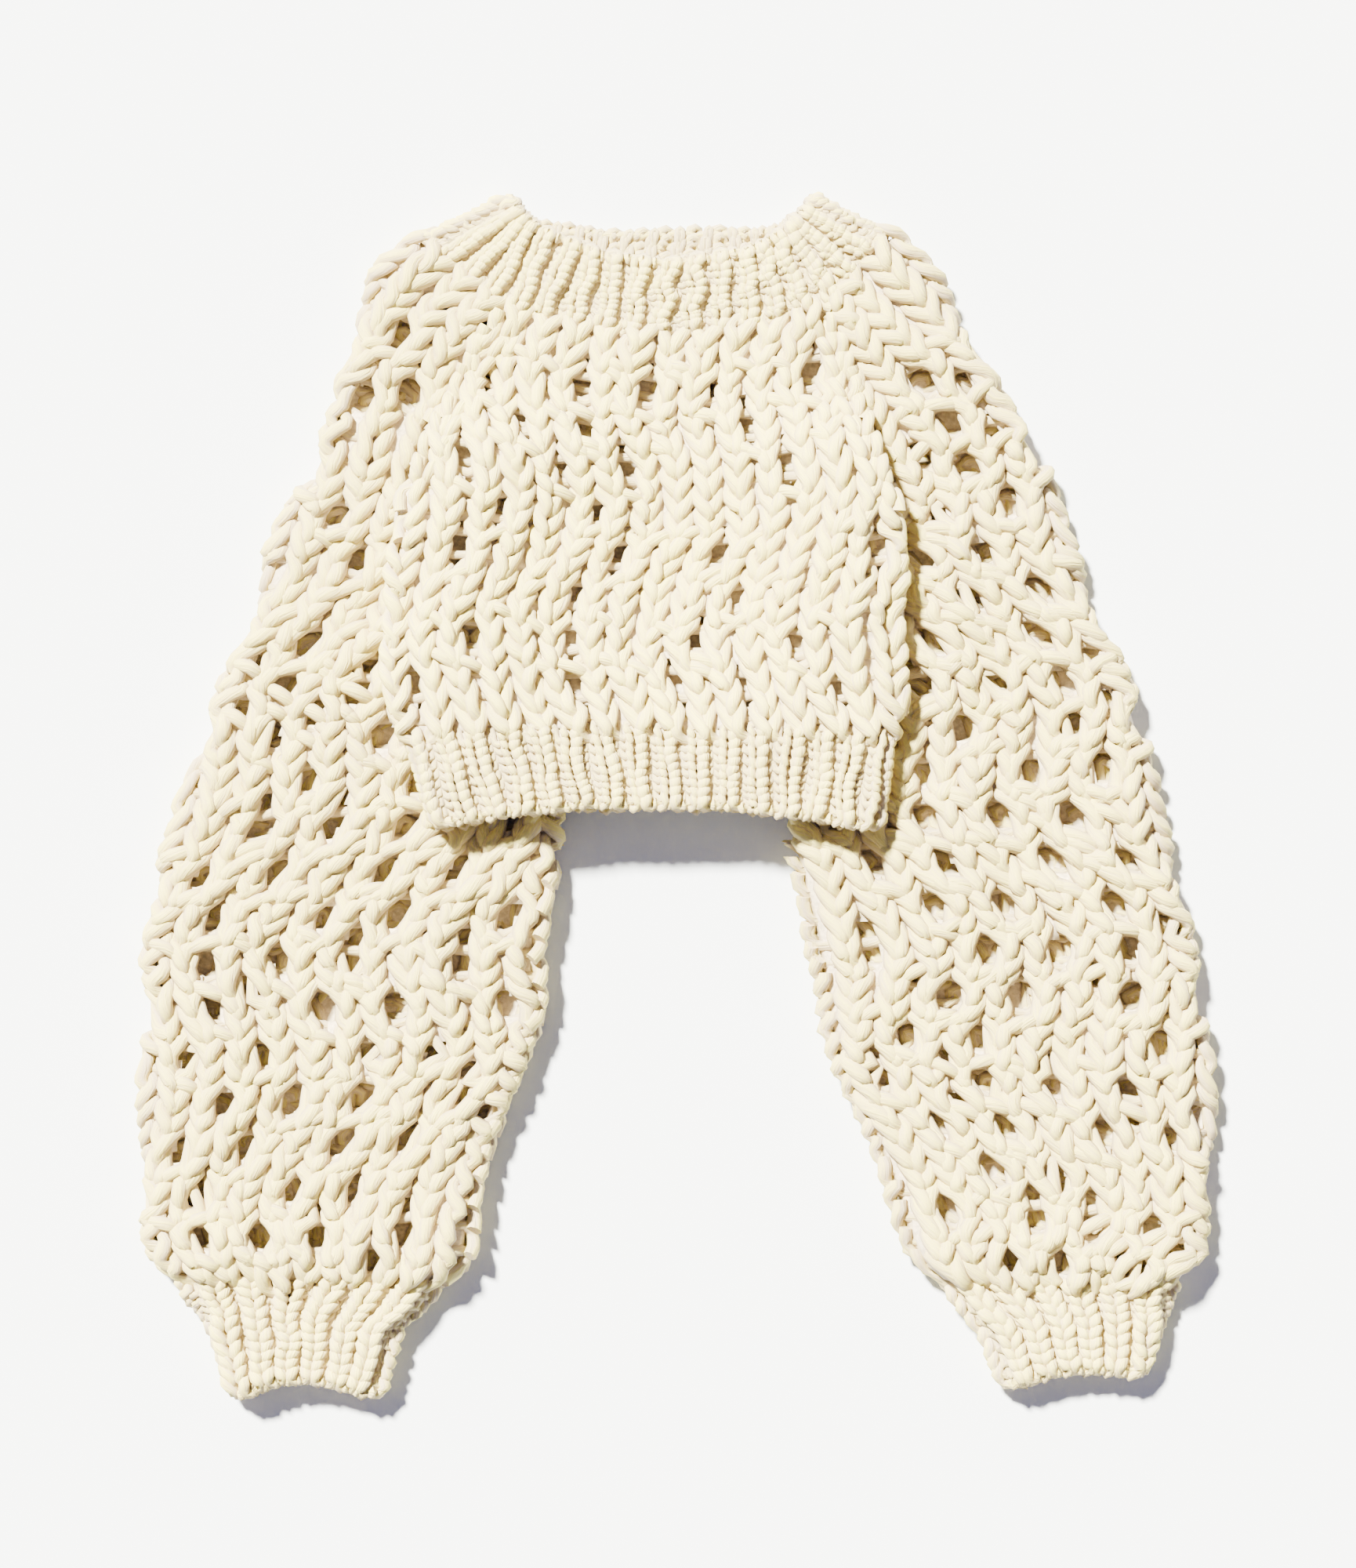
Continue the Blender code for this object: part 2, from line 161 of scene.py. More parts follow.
# Soft ridges (and, with a negative height, troughs) of the sleeves' upper layer.
SLEEVE_FOLDS = [
    Fold(184, 165, 182, 60, 15, 5),
    Fold(196, 10, 178, -110, 18, 4),
    Fold(282, -30, 296, -190, 24, 4),
    Fold(-215, 90, -232, -30, 20, 4),
    Fold(-158, -78, -168, -160, 20, 5),
    Fold(-300, -70, -300, -220, 24, 4),
]

# The same for the front: the groove inside its right edge and the soft waves of its middle.
BODY_FOLDS = [
    Fold(134, 170, 145, 62, 9, -5),
    Fold(-176, 150, -181, 70, 9, -3),
    Fold(100, 245, 116, 120, 20, 3),
    Fold(-128, 200, -140, 90, 22, 3),
    Fold(-52, 225, -38, 130, 24, 3),
    Fold(38, 190, 52, 70, 22, -3),
    Fold(-90, 120, -84, 50, 20, -3),
]
# A sleeve gathers over this last length of it, in waves of so many wales.
GATHER_LENGTH = 62.0
GATHER_WALES = 2.6
# Its knit swells just above the cuff: 6.75 would give a swelling one millimetre high.
PUFF = 40.0


def smoothstep(value):
    value = min(max(value, 0.0), 1.0)
    return value * value * (3.0 - 2.0 * value)


def between(table, value):
    """Straight-line reading of a table of (key, value) pairs whose keys rise."""
    return float(np.interp(value, [row[0] for row in table], [row[1] for row in table]))


def sleeve_edge(side, tube):
    """Inner edge of a sleeve as (y, x) pairs from below the hem up to the yoke."""
    below = [(row.inner_y, row.inner_x) for row in tube[:TUBE_TOP_ROW + 1]]
    beside = BODY[:UNDERARM_ROW + 1]
    above = [(getattr(row, side + "_y"), getattr(row, side + "_x")) for row in beside]
    return sorted(above + below)


LEFT_EDGE = sleeve_edge("left", TUBE_LEFT)
RIGHT_EDGE = sleeve_edge("right", TUBE_RIGHT)


def body_lift(x, y):
    """Height of the body's underside: full over the sleeves and lower between them."""
    left = between(LEFT_EDGE, y) + LIFT_MARGIN
    right = between(RIGHT_EDGE, y) - LIFT_MARGIN
    bowl = smoothstep(min(x - left, right - x) / (0.5 * (right - left)))
    underarm_y = BODY[UNDERARM_ROW].left_y + LIFT_MARGIN
    edge = 1.0 - smoothstep((y - underarm_y) / LIFT_TAPER)
    return BODY_LIFT * (edge * (1.0 - bowl) + between(MIDDLE_LIFT, y) * bowl)


def fold_height(folds, x, y):
    """Height of the soft ridges at places on an upper layer, as arrays."""
    height = np.zeros_like(x)
    for fold in folds:
        along = np.array((fold.end_x - fold.start_x, fold.end_y - fold.start_y), float)
        share = ((x - fold.start_x) * along[0] + (y - fold.start_y) * along[1]) / (along @ along)
        share = np.clip(share, 0.0, 1.0)
        off_x = x - fold.start_x - along[0] * share
        off_y = y - fold.start_y - along[1] * share
        ridge = fold.height * np.exp(-(np.hypot(off_x, off_y) / fold.width) ** 2)
        height = np.where(np.abs(ridge) > np.abs(height), ridge, height)
    return height


def mixed(first, second, share):
    """Row part way between two rows of one table."""
    return type(first)(*(a + (b - a) * share for a, b in zip(first, second)))


def finer(rows, start):
    """The rows with one more between each pair from start on, on a smooth curve.

    The new row is nine sixteenths of each neighbour less a sixteenth of each row beyond.
    """
    result = rows[:start + 1]
    for index in range(start, len(rows) - 1):
        first, second = rows[index], rows[index + 1]
        before = rows[index - 1] if index > start else mixed(first, second, -1.0)
        after = rows[index + 2] if index + 2 < len(rows) else mixed(second, first, -1.0)
        columns = zip(before, first, second, after)
        result += [type(first)(*((9 * (b + c) - a - d) / 16 for a, b, c, d in columns)), second]
    return result


def edge_strip(base, outward, curl, layer):
    """Stations from a run's end to the panel's edge: flat, or with curl 1 a quarter turn."""
    turn = curl * math.pi / 2
    length = FOLD_INSET + (FOLD_RADIUS * math.pi / 2 - FOLD_INSET) * curl
    stations = []
    for step in range(1, QUARTER_STEPS + 1):
        share = step / QUARTER_STEPS
        angle = turn * share
        reach, drop = length * share, 0.0
        if turn > 0:
            reach = length / turn * math.sin(angle)
            drop = length / turn * (1 - math.cos(angle))
        place = Vector((base.x + outward.x * reach, base.y + outward.y * reach,
                        MID_HEIGHT + layer * (FOLD_RADIUS - drop)))
        facing = Vector((outward.x * math.sin(angle), outward.y * math.sin(angle),
                         layer * math.cos(angle)))
        stations.append(Station(place, facing))
    return stations


def whole_fold(base, outward):
    """Stations round a fold from the upper layer to the under layer, both ends included."""
    centre = Vector((base.x, base.y, MID_HEIGHT))
    stations = []
    for step in range(2 * QUARTER_STEPS + 1):
        angle = math.pi * step / (2 * QUARTER_STEPS)
        facing = Vector((outward.x * math.sin(angle), outward.y * math.sin(angle),
                         math.cos(angle)))
        stations.append(Station(centre + facing * FOLD_RADIUS, facing))
    return stations


def flat_run(places, layer):
    """Stations of one flat layer over a list of plan places."""
    height = MID_HEIGHT + layer * FOLD_RADIUS
    facing = Vector((0.0, 0.0, float(layer)))
    return [Station(Vector((place.x, place.y, height)), facing) for place in places]


def plan_line(start, end, steps):
    """Plan places from start to end in even steps, both included."""
    return [start.lerp(end, step / steps) for step in range(steps + 1)]


def bowed(places, start, end, sag):
    """Plan places moved along Y by a parabola that is zero at start and end."""
    result = []
    for place in places:
        share = (place.x - start.x) / (end.x - start.x)
        result.append(Vector((place.x, place.y + 4 * share * (1 - share) * sag)))
    return result


def body_section(row, layer, curl):
    """One layer of the body, from its left edge to its right edge."""
    left = Vector((row.left_x, row.left_y))
    right = Vector((row.right_x, row.right_y))
    across = (right - left).normalized()
    start = left + across * FOLD_INSET
    end = right - across * FOLD_INSET
    stations = edge_strip(start, -across, curl, layer)[::-1]
    stations += flat_run(plan_line(start, end, RUN_STEPS), layer)
    stations += edge_strip(end, across, curl, layer)
    sag = row.front_sag if layer > 0 else row.back_sag
    places = bowed([station.place.xy for station in stations], left, right, sag)
    section = []
    for place, station in zip(places, stations):
        height = station.place.z + body_lift(place.x, place.y)
        section.append(Station(Vector((place.x, place.y, height)), station.facing))
    return section


def sleeve_section(row, curl):
    """Round the sleeve: inner edge, upper layer, outer fold, under layer, inner edge."""
    inner = Vector((row.inner_x, row.inner_y))
    outer = Vector((row.outer_x, row.outer_y))
    across = (outer - inner).normalized()
    start = inner + across * FOLD_INSET
    end = outer - across * FOLD_INSET
    run = plan_line(start, end, RUN_STEPS)
    stations = edge_strip(start, -across, curl, 1)[::-1]
    stations += flat_run(run[:-1], 1)
    stations += whole_fold(end, across)
    stations += flat_run(run[:-1][::-1], -1)
    stations += edge_strip(start, -across, curl, -1)
    return stations


def cuff_section(seam, edge, share):
    """Round the cuff, part way from its seam to its edge."""
    inner = Vector((seam.inner_x, seam.inner_y)).lerp(Vector((edge.inner_x, edge.inner_y)), share)
    outer = Vector((seam.outer_x, seam.outer_y)).lerp(Vector((edge.outer_x, edge.outer_y)), share)
    across = (outer - inner).normalized()
    start = inner + across * FOLD_INSET
    end = outer - across * FOLD_INSET
    run = bowed(plan_line(start, end, RUN_STEPS), start, end, edge.sag * share)
    stations = flat_run(run[:-1], 1) + whole_fold(run[-1], across)
    return stations + flat_run(run[1:-1][::-1], -1) + whole_fold(run[0], -across)[::-1]


def neck_place(position, layer):
    """Place on the neck's edge, at a position that may lie between two rows of its table."""
    index = min(int(position), NECK_END - 1)
    row = mixed(NECK[index], NECK[index + 1], position - index)
    return Vector((row.x, row.front_y if layer > 0 else row.back_y))


def yoke_edge(position, layer):
    """The yoke's outer edge: straight over each shoulder and bowed between the raglans."""
    top = BODY[0]
    raglan_left = Vector((top.left_x, top.left_y))
    raglan_right = Vector((top.right_x, top.right_y))
    if position <= NECK_LEFT:
        return Vector(CAP_LEFT[0]).lerp(raglan_left, position / NECK_LEFT)
    if position >= NECK_RIGHT:
        share = (position - NECK_RIGHT) / (NECK_END - NECK_RIGHT)
        return raglan_right.lerp(Vector(CAP_RIGHT[0]), share)
    share = (position - NECK_LEFT) / (NECK_RIGHT - NECK_LEFT)
    sag = top.front_sag if layer > 0 else top.back_sag
    place = raglan_left.lerp(raglan_right, share)
    return Vector((place.x, place.y + 4 * share * (1 - share) * sag))


def shoulder_outward(end, share):
    """Direction in which a shoulder's fold faces, from the neck (share 0) to the sleeve."""
    fold = Vector(CAP_LEFT[0] if end == 0 else CAP_RIGHT[0])
    raglan = yoke_edge(NECK_LEFT if end == 0 else NECK_RIGHT, 1)
    along = fold - neck_place(end, 1)
    at_neck = Vector((-abs(along.y) if end == 0 else abs(along.y), abs(along.x))).normalized()
    return at_neck.lerp((fold - raglan).normalized(), share).normalized()


def yoke_section(share):
    """Round the yoke at one distance from the neck: front, right fold, back, left fold."""
    layers = {}
    for layer in (1, -1):
        places = []
        for step in range(2 * RUN_STEPS + 1):
            position = NECK_END * step / (2 * RUN_STEPS)
            place = neck_place(position, layer).lerp(yoke_edge(position, layer), share)
            for end in (0, NECK_END):
                pull = max(0.0, 1.0 - abs(position - end) / NECK_LEFT)
                place = place - shoulder_outward(end, share) * FOLD_INSET * pull
            places.append(place)
        layers[layer] = places
    left, right = layers[1][0], layers[1][-1]
    stations = flat_run(layers[1][1:-1], 1)
    stations += whole_fold(right, shoulder_outward(NECK_END, share))
    stations += flat_run(layers[-1][1:-1][::-1], -1)
    return stations + whole_fold(left, shoulder_outward(0, share))[::-1]


# ---------------------------------------------------------------- cloth surface


# Distance over which the slope past a panel's end is read, in millimetres.
SLOPE_STEP = 2.0


def curve_weights(t):
    """Weights of four rows for a smooth curve through the middle two."""
    t2, t3 = t * t, t * t * t
    return (
        0.5 * (-t + 2 * t2 - t3),
        0.5 * (2 - 5 * t2 + 3 * t3),
        0.5 * (t + 4 * t2 - 3 * t3),
        0.5 * (-t2 + t3),
    )


class Cloth:
    """Middle surface of one panel, read by wale number across and millimetres down.

    Folds are the soft ridges of its upper layer, gathers the height of the waves above a cuff
    and bulge how far the outer folds are pushed outwards, in millimetres.
    """

    def __init__(self, sections, wales_of, folds=(), gathers=0.0, bulge=0.0):
        self.places = np.array([[station.place[:] for station in row] for row in sections])
        self.facings = np.array([[station.facing[:] for station in row] for row in sections])
        steps = np.linalg.norm(np.diff(self.places, axis=1), axis=2)
        starts = np.zeros((len(sections), 1))
        self.arcs = np.concatenate([starts, np.cumsum(steps, axis=1)], axis=1)
        self.wales = wales_of(self)
        drops = np.linalg.norm(np.diff(self.places, axis=0), axis=2).mean(axis=1)
        self.downs = np.concatenate([[0.0], np.cumsum(drops)])
        self.folds = folds
        self.gathers = gathers
        self.bulge = bulge

    @property
    def depth(self):
        return float(self.downs[-1])

    def rows_at(self, down):
        inside = np.clip(down, 0.0, self.depth)
        row = np.interp(inside, self.downs, np.arange(len(self.downs)))
        base = np.minimum(row.astype(int), len(self.downs) - 2)
        return base, row - base

    def read(self, values, wale, down):
        """A station value at places of the cloth, smooth down the rows."""
        base, t = self.rows_at(down)
        result = np.zeros((len(wale), values.shape[2]))
        last = len(self.downs) - 1
        for offset, weight in zip((-1, 0, 1, 2), curve_weights(t)):
            index = np.clip(base + offset, 0, last)
            for row in np.unique(index):
                chosen = index == row
                for axis in range(values.shape[2]):
                    read = np.interp(wale[chosen], self.wales[row], values[row, :, axis])
                    result[chosen, axis] += weight[chosen] * read
        return result

    def limits(self, down):
        """Lowest and highest wale number at a distance down."""
        ends = self.wales[:, [0, -1]]
        low, high = (np.interp(down, self.downs, ends[:, side]) for side in (0, 1))
        return float(low), float(high)

    def wale_width(self, down):
        """Millimetres that one wale takes at a distance down."""
        span = self.wales[:, -1] - self.wales[:, 0]
        return np.interp(down, self.downs, self.arcs[:, -1] / span)

    def at(self, wale, down, height):
        """Place and facing of points that stand a height above the middle surface."""
        wale, down, height = (np.asarray(value, float) for value in (wale, down, height))
        place = self.read(self.places, wale, down)
        facing = self.read(self.facings, wale, down)
        facing /= np.linalg.norm(facing, axis=1)[:, None]
        beyond = down - np.clip(down, 0.0, self.depth)
        if np.any(beyond):
            inner = np.clip(down, 0.0, self.depth)
            step = np.where(beyond > 0, -SLOPE_STEP, SLOPE_STEP)
            slope = (place - self.read(self.places, wale, inner + step)) / -step[:, None]
            slope /= np.linalg.norm(slope, axis=1)[:, None] + 1e-9
            place = place + slope * beyond[:, None]
        if self.gathers:
            near = np.clip((down - self.depth + GATHER_LENGTH) / GATHER_LENGTH, 0.0, 1.0)
            wave = np.sin(2 * math.pi * wale / GATHER_WALES)
            height = height + self.gathers * near ** 1.5 * wave
            upper_side = np.where(facing[:, 2] > -0.5, 1.0, 0.0)
            height = height + PUFF * near ** 2 * (1.0 - near) * upper_side
        place = place + facing * height[:, None]
        place[:, :2] += facing[:, :2] * self.bulge
        upper = np.clip(facing[:, 2], 0.0, 1.0) ** 2
        place[:, 2] += fold_height(self.folds, place[:, 0], place[:, 1]) * upper
        return place, facing


def by_arc(anchor, width_of):
    """Wales counted by arc from one station, each row with its own wale width."""
    def count(cloth):
        rows = np.arange(len(cloth.arcs))
        widths = np.array([width_of(cloth, row) for row in rows])
        return (cloth.arcs - cloth.arcs[:, [anchor]]) / widths[:, None]
    return count


def by_share(total):
    """A fixed number of wales spread evenly over each row."""
    def count(cloth):
        return cloth.arcs / cloth.arcs[:, [-1]] * total
    return count


def by_last_row(total):
    """Wales spread evenly over the last row and carried straight up the other rows."""
    def count(cloth):
        return np.repeat(cloth.arcs[-1:] / cloth.arcs[-1, -1] * total, len(cloth.arcs), axis=0)
    return count


def ring(section):
    """A closed section, with its first station repeated at its end."""
    return section + [section[0]]


# ---------------------------------------------------------------- yarn


# The streaks of each strand start this many metres further on than the last strand's.
STRAND_SHIFT = 0.37


class Strands:
    """Centre-lines of yarn, gathered for one piece."""

    def __init__(self):
        self.places = []
        self.facings = []
        self.thickness = []
        # Heights in the cloth as shares, which the wool's colour ramp turns into painted shade.
        self.lifts = []
        self.strand = []
        self.edges = []
        self.count = 0
        self.lines = 0

    def add(self, place, facing, thickness, lift, closed=False):
        total = len(place)
        numbers = np.arange(total) + self.count
        links = np.stack([numbers[:-1], numbers[1:]], axis=1)
        if closed:
            links = np.vstack([links, [[numbers[-1], numbers[0]]]])
        self.places.append(place)
        self.facings.append(facing)
        self.thickness.append(np.broadcast_to(thickness, (total,)))
        self.lifts.append(np.broadcast_to(lift, (total,)))
        self.strand.append(np.full(total, self.lines * STRAND_SHIFT))
        self.edges.append(links)
        self.count += total
        self.lines += 1

    def mesh(self, name):
        """The centre-lines as a mesh of edges with the attributes that the yarn needs."""
        data = bpy.data.meshes.new(name)
        places = np.concatenate(self.places) * MM
        links = np.concatenate(self.edges)
        data.vertices.add(len(places))
        data.edges.add(len(links))
        data.vertices.foreach_set("co", places.astype(np.float32).ravel())
        data.edges.foreach_set("vertices", links.astype(np.int32).ravel())
        for title, kind, values in (
            ("facing", "FLOAT_VECTOR", np.concatenate(self.facings)),
            ("thickness", "FLOAT", np.concatenate(self.thickness) * MM),
            ("strand", "FLOAT", np.concatenate(self.strand)),
            ("lift", "FLOAT", np.concatenate(self.lifts)),
        ):
            layer = data.attributes.new(title, kind, "POINT")
            field = "vector" if kind == "FLOAT_VECTOR" else "value"
            layer.data.foreach_set(field, values.astype(np.float32).ravel())
        data.update()
        return data


# The hand's unevenness is made of this many waves, with lengths between these in millimetres.
HAND_WAVES = 6
HAND_LENGTHS = (28.0, 75.0)


def hand_noise(across, down, seed):
    """Smooth unevenness of hand knitting, mostly from -1 to 1, over millimetres of cloth."""
    random = np.random.RandomState(seed)
    total = np.zeros_like(across)
    for _ in range(HAND_WAVES):
        length = random.uniform(*HAND_LENGTHS)
        angle = random.uniform(0.0, math.pi)
        phase = random.uniform(0.0, 2 * math.pi)
        forward = across * math.cos(angle) + down * math.sin(angle)
        total += np.sin(forward * 2 * math.pi / length + phase)
    return total / (HAND_WAVES / 2)


# The lace repeat: 2.5 wales by 12 courses, with a hole in every second course and, on the
# sleeves, some between. The chain of holes wanders over the whole repeat and back again, and
# the wales lean with it. A radius is in millimetres, and chance is the share of the repeats
# in which the hole is made.
LaceHole = namedtuple("LaceHole", "wale course radius chance")
# Tall is a hole's height to its width, slant how far it leans aside for each millimetre down,
# and start how far down the panel the holes begin.
Lace = namedtuple("Lace", "holes tall slant start")
LACE_WALES = 2.5
LACE_COURSES = 12
SLEEVE_LACE = Lace([
    LaceHole(0.0, 0, 10.0, 0.95),
    LaceHole(0.8, 2, 8.8, 0.9),
    LaceHole(1.7, 4, 9.8, 0.95),
    LaceHole(2.5, 6, 8.6, 0.9),
    LaceHole(1.7, 8, 10.0, 0.95),
    LaceHole(0.8, 10, 8.8, 0.9),
    LaceHole(1.7, 1, 7.0, 0.4),
    LaceHole(0.4, 5, 7.0, 0.4),
    LaceHole(0.8, 7, 7.0, 0.4),
    LaceHole(2.3, 11, 7.0, 0.4),
], tall=1.15, slant=0.3, start=58.0)
BODY_LACE = Lace([
    LaceHole(0.0, 0, 5.8, 0.85),
    LaceHole(0.8, 2, 4.6, 0.75),
    LaceHole(1.7, 4, 5.6, 0.85),
    LaceHole(2.5, 6, 4.4, 0.7),
    LaceHole(1.7, 8, 5.8, 0.85),
    LaceHole(0.8, 10, 4.4, 0.75),
], tall=2.3, slant=0.32, start=26.0)
# Millimetres over which a hole pushes the yarn aside, and from a panel's lower end to a hole.
HOLE_REACH = 11.5
HOLE_END_MARGIN = 6.0
# A hole lies between two wales, midway between two yarns that cross there, and keeps these
# many wales from a panel's edge.
HOLE_LEVEL = 0.91
HOLE_EDGE_MARGIN = 0.7
# How unlike each other the holes are: size and stretch as shares, the rest in wales, courses
# and millimetres aside for each millimetre down.
HOLE_SIZES = (0.7, 1.08)
HOLE_STRETCHES = (0.85, 1.15)
HOLE_ASIDE = 0.06
HOLE_DOWN = 0.1
HOLE_TILT = 0.15
# The wander of the lace fades out over this many wales beside an edge.
EDGE_WALES = 1.6

# A decrease beside a large hole, in wales and courses from the hole.
Lean = namedtuple("Lean", "from_wale from_course to_wale to_course")
LACE_LEANS = [
    Lean(-1.60, -1.05, -0.45, -0.15),
    Lean(0.40, -1.35, 1.45, -0.55),
    Lean(-0.55, 0.95, 0.50, 1.60),
]
# A leaning stitch: points of its centre-line, how deep its ends tuck in and how far its
# middle bows up the cloth in millimetres, and its radius at the ends and the swelling of its
# middle as shares.
LEAN_POINTS = 9
LEAN_TUCK = 2.5
LEAN_BOW = 2.0
LEAN_THIN = 0.72
LEAN_SWELL = 0.30
# How much higher a decrease lies than the loops in millimetres, how unlike each other the
# decreases are, and how many millimetres and wales they keep from a panel's ends and edges.
LEAN_LIFT = 2.2
LEAN_SHIFT = 0.08
LEAN_SIZES = (0.92, 1.08)
LEAN_END_MARGIN = 8.0
LEAN_EDGE_MARGIN = 0.4
# A hole counts as large above this many yarn radii.
LARGE_BODY_HOLE = 1.0
LARGE_SLEEVE_HOLE = 1.65

# The upper end of each leg passes under the lower end of the leg above it by this much.
OVERLAP = 2.6
# The cloth sinks along the chains of holes and stands up in ridges between them.
LATTICE_RELIEF = 1.7
# Each wale of the lace is a rounded plait: its middle is higher, and its legs lie close.
WALE_RELIEF = 0.8
WALE_CLOSE = 0.06
# The ends of a course dive into the seam over this many wales.
TUCK_WALES = 0.18
# What uneven stitches add, in millimetres, and the broader drift of the hand.
UNEVEN_REACH = 2.6
UNEVEN_THICK = 0.3
DRIFT_ASIDE = 1.8
DRIFT_HEIGHT = 0.8
DRIFT_THICK = 0.06
DRIFT_THICK_SCALE = 1.7
# A purl's rung lies this far behind, as shares of the loop's height and of the rib's ridge.
PURL_DEPTH = 0.5
PURL_SINK = 1.4

# Pitch, depth and radius are in millimetres and loop and swing in courses and wales. Plump
# and uneven are shares, and zigzag and shift say how far, in wales and courses, the lace
# carries the stitches sideways and where its repeat begins.
Knit = namedtuple("Knit", "pitch loop swing depth radius plump uneven zigzag shift points rib")
Rib = namedtuple("Rib", "spread ridge left right purl")
# In the lace the radius is a share of the yarn's, and pitch and points are filled in later.
BODY_KNIT = Knit(pitch=0.0, loop=1.82, swing=0.26, depth=3.0, radius=0.94, plump=0.18,
                 uneven=0.20, zigzag=0.40, shift=(0, 2), points=0, rib=None)
SLEEVE_KNIT = BODY_KNIT._replace(loop=1.84, swing=0.28, depth=3.4, radius=1.05, shift=(1, 1))
YOKE_KNIT = Knit(pitch=5.4, loop=2.2, swing=0.15, depth=2.0, radius=3.3, plump=0.06,
                 uneven=0.2, zigzag=0.0, shift=(0, 0), points=10,
                 rib=Rib(spread=0.45, ridge=1.6, left=0.85, right=1.22, purl=0.75))
HEM_KNIT = YOKE_KNIT._replace(pitch=6.3, loop=2.1, swing=0.14,
                              rib=Rib(spread=0.5, ridge=1.6, left=0.82, right=1.25, purl=0.75))
CUFF_KNIT = YOKE_KNIT._replace(pitch=7.7, loop=2.0, swing=0.21, depth=2.3, radius=3.9,
                               plump=0.08, points=12,
                               rib=Rib(spread=0.75, ridge=1.8, left=1.0, right=1.06, purl=0.6))
YOKE_STITCHES = 72
HEM_STITCHES = 62
CUFF_STITCHES = 26
# Sides of the yarn's section, and its height to its width.
FRONT_SIDES = 10
SLEEVE_SIDES = 8
PLAIN_SIDES = 6
LACE_FLATNESS = 0.9
RIB_FLATNESS = 0.95
# Wales are counted from a sleeve's middle line, which lies on its outer fold: the under
# layer's yarn begins past this wale, and the holes of the upper layer end before this one.
UNDER_FROM_WALE = 0.5
UPPER_TO_WALE = -0.3


def chain_place(row):
    """How far a chain of holes has wandered at a course, from 0 to 1 and back to 0."""
    return 1.0 - np.abs(2.0 * np.mod(row / LACE_COURSES, 1.0) - 1.0)


def wander(cloth, knit, wale, down):
    """How many wales the lace carries the stitches sideways: none at the edges."""
    low, high = cloth.limits(float(np.mean(down)))
    inside = np.clip(np.minimum(wale - low, high - wale) / EDGE_WALES, 0.0, 1.0)
    row = down / knit.pitch - 0.5 - knit.shift[1]
    return -knit.zigzag * np.cos(2 * math.pi * row / LACE_COURSES) * inside


def lace_holes(cloth, knit, lace, seed):
    """Places of the lace holes as rows of wale, down, radius, height to width and slant."""
    random = np.random.RandomState(seed)
    holes = []
    courses = int(cloth.depth / knit.pitch)
    low = math.floor(cloth.wales.min() / LACE_WALES) - 1
    high = math.ceil(cloth.wales.max() / LACE_WALES) + 1
    for block in range(-1, courses // LACE_COURSES + 2):
        for column in range(low, high + 1):
            for hole in lace.holes:
                course = block * LACE_COURSES + hole.course + knit.shift[1]
                wale = round(column * LACE_WALES + hole.wale + knit.shift[0])
                size = hole.radius * random.uniform(*HOLE_SIZES)
                wale += random.uniform(-HOLE_ASIDE, HOLE_ASIDE)
                if random.rand() > hole.chance:
                    continue
                down = (course + HOLE_LEVEL + random.uniform(-HOLE_DOWN, HOLE_DOWN)) * knit.pitch
                if not lace.start < down < cloth.depth - HOLE_END_MARGIN:
                    continue
                first, last = cloth.limits(down)
                if first + HOLE_EDGE_MARGIN < wale < last - HOLE_EDGE_MARGIN:
                    onward = hole.course < LACE_COURSES / 2
                    tilt = lace.slant if onward else -lace.slant
                    tilt += random.uniform(-HOLE_TILT, HOLE_TILT)
                    place = wale + float(wander(cloth, knit, wale, down))
                    stretch = lace.tall * random.uniform(*HOLE_STRETCHES)
                    holes.append((place, down, size, stretch, tilt))
    return np.array(holes).reshape(-1, 5)


def opened(cloth, holes, wale, down):
    """Pushes the yarn aside round each hole."""
    if holes is None or not len(holes):
        return wale, down
    width = cloth.wale_width(down)
    push_wale = np.zeros_like(wale)
    push_down = np.zeros_like(down)
    for hole_wale, hole_down, radius, tall, slant in holes:
        near = np.abs(down - hole_down) < 4 * HOLE_REACH
        if not near.any():
            continue
        dy = (down[near] - hole_down) / tall
        dx = (wale[near] - hole_wale) * width[near] - slant * dy * tall
        distance = np.hypot(dx, dy) + 1e-6
        push = radius * np.exp(-(distance / HOLE_REACH) ** 2) / distance
        push_wale[near] += dx * push / width[near]
        push_down[near] += dy * push / tall
    return wale + push_wale, down + push_down


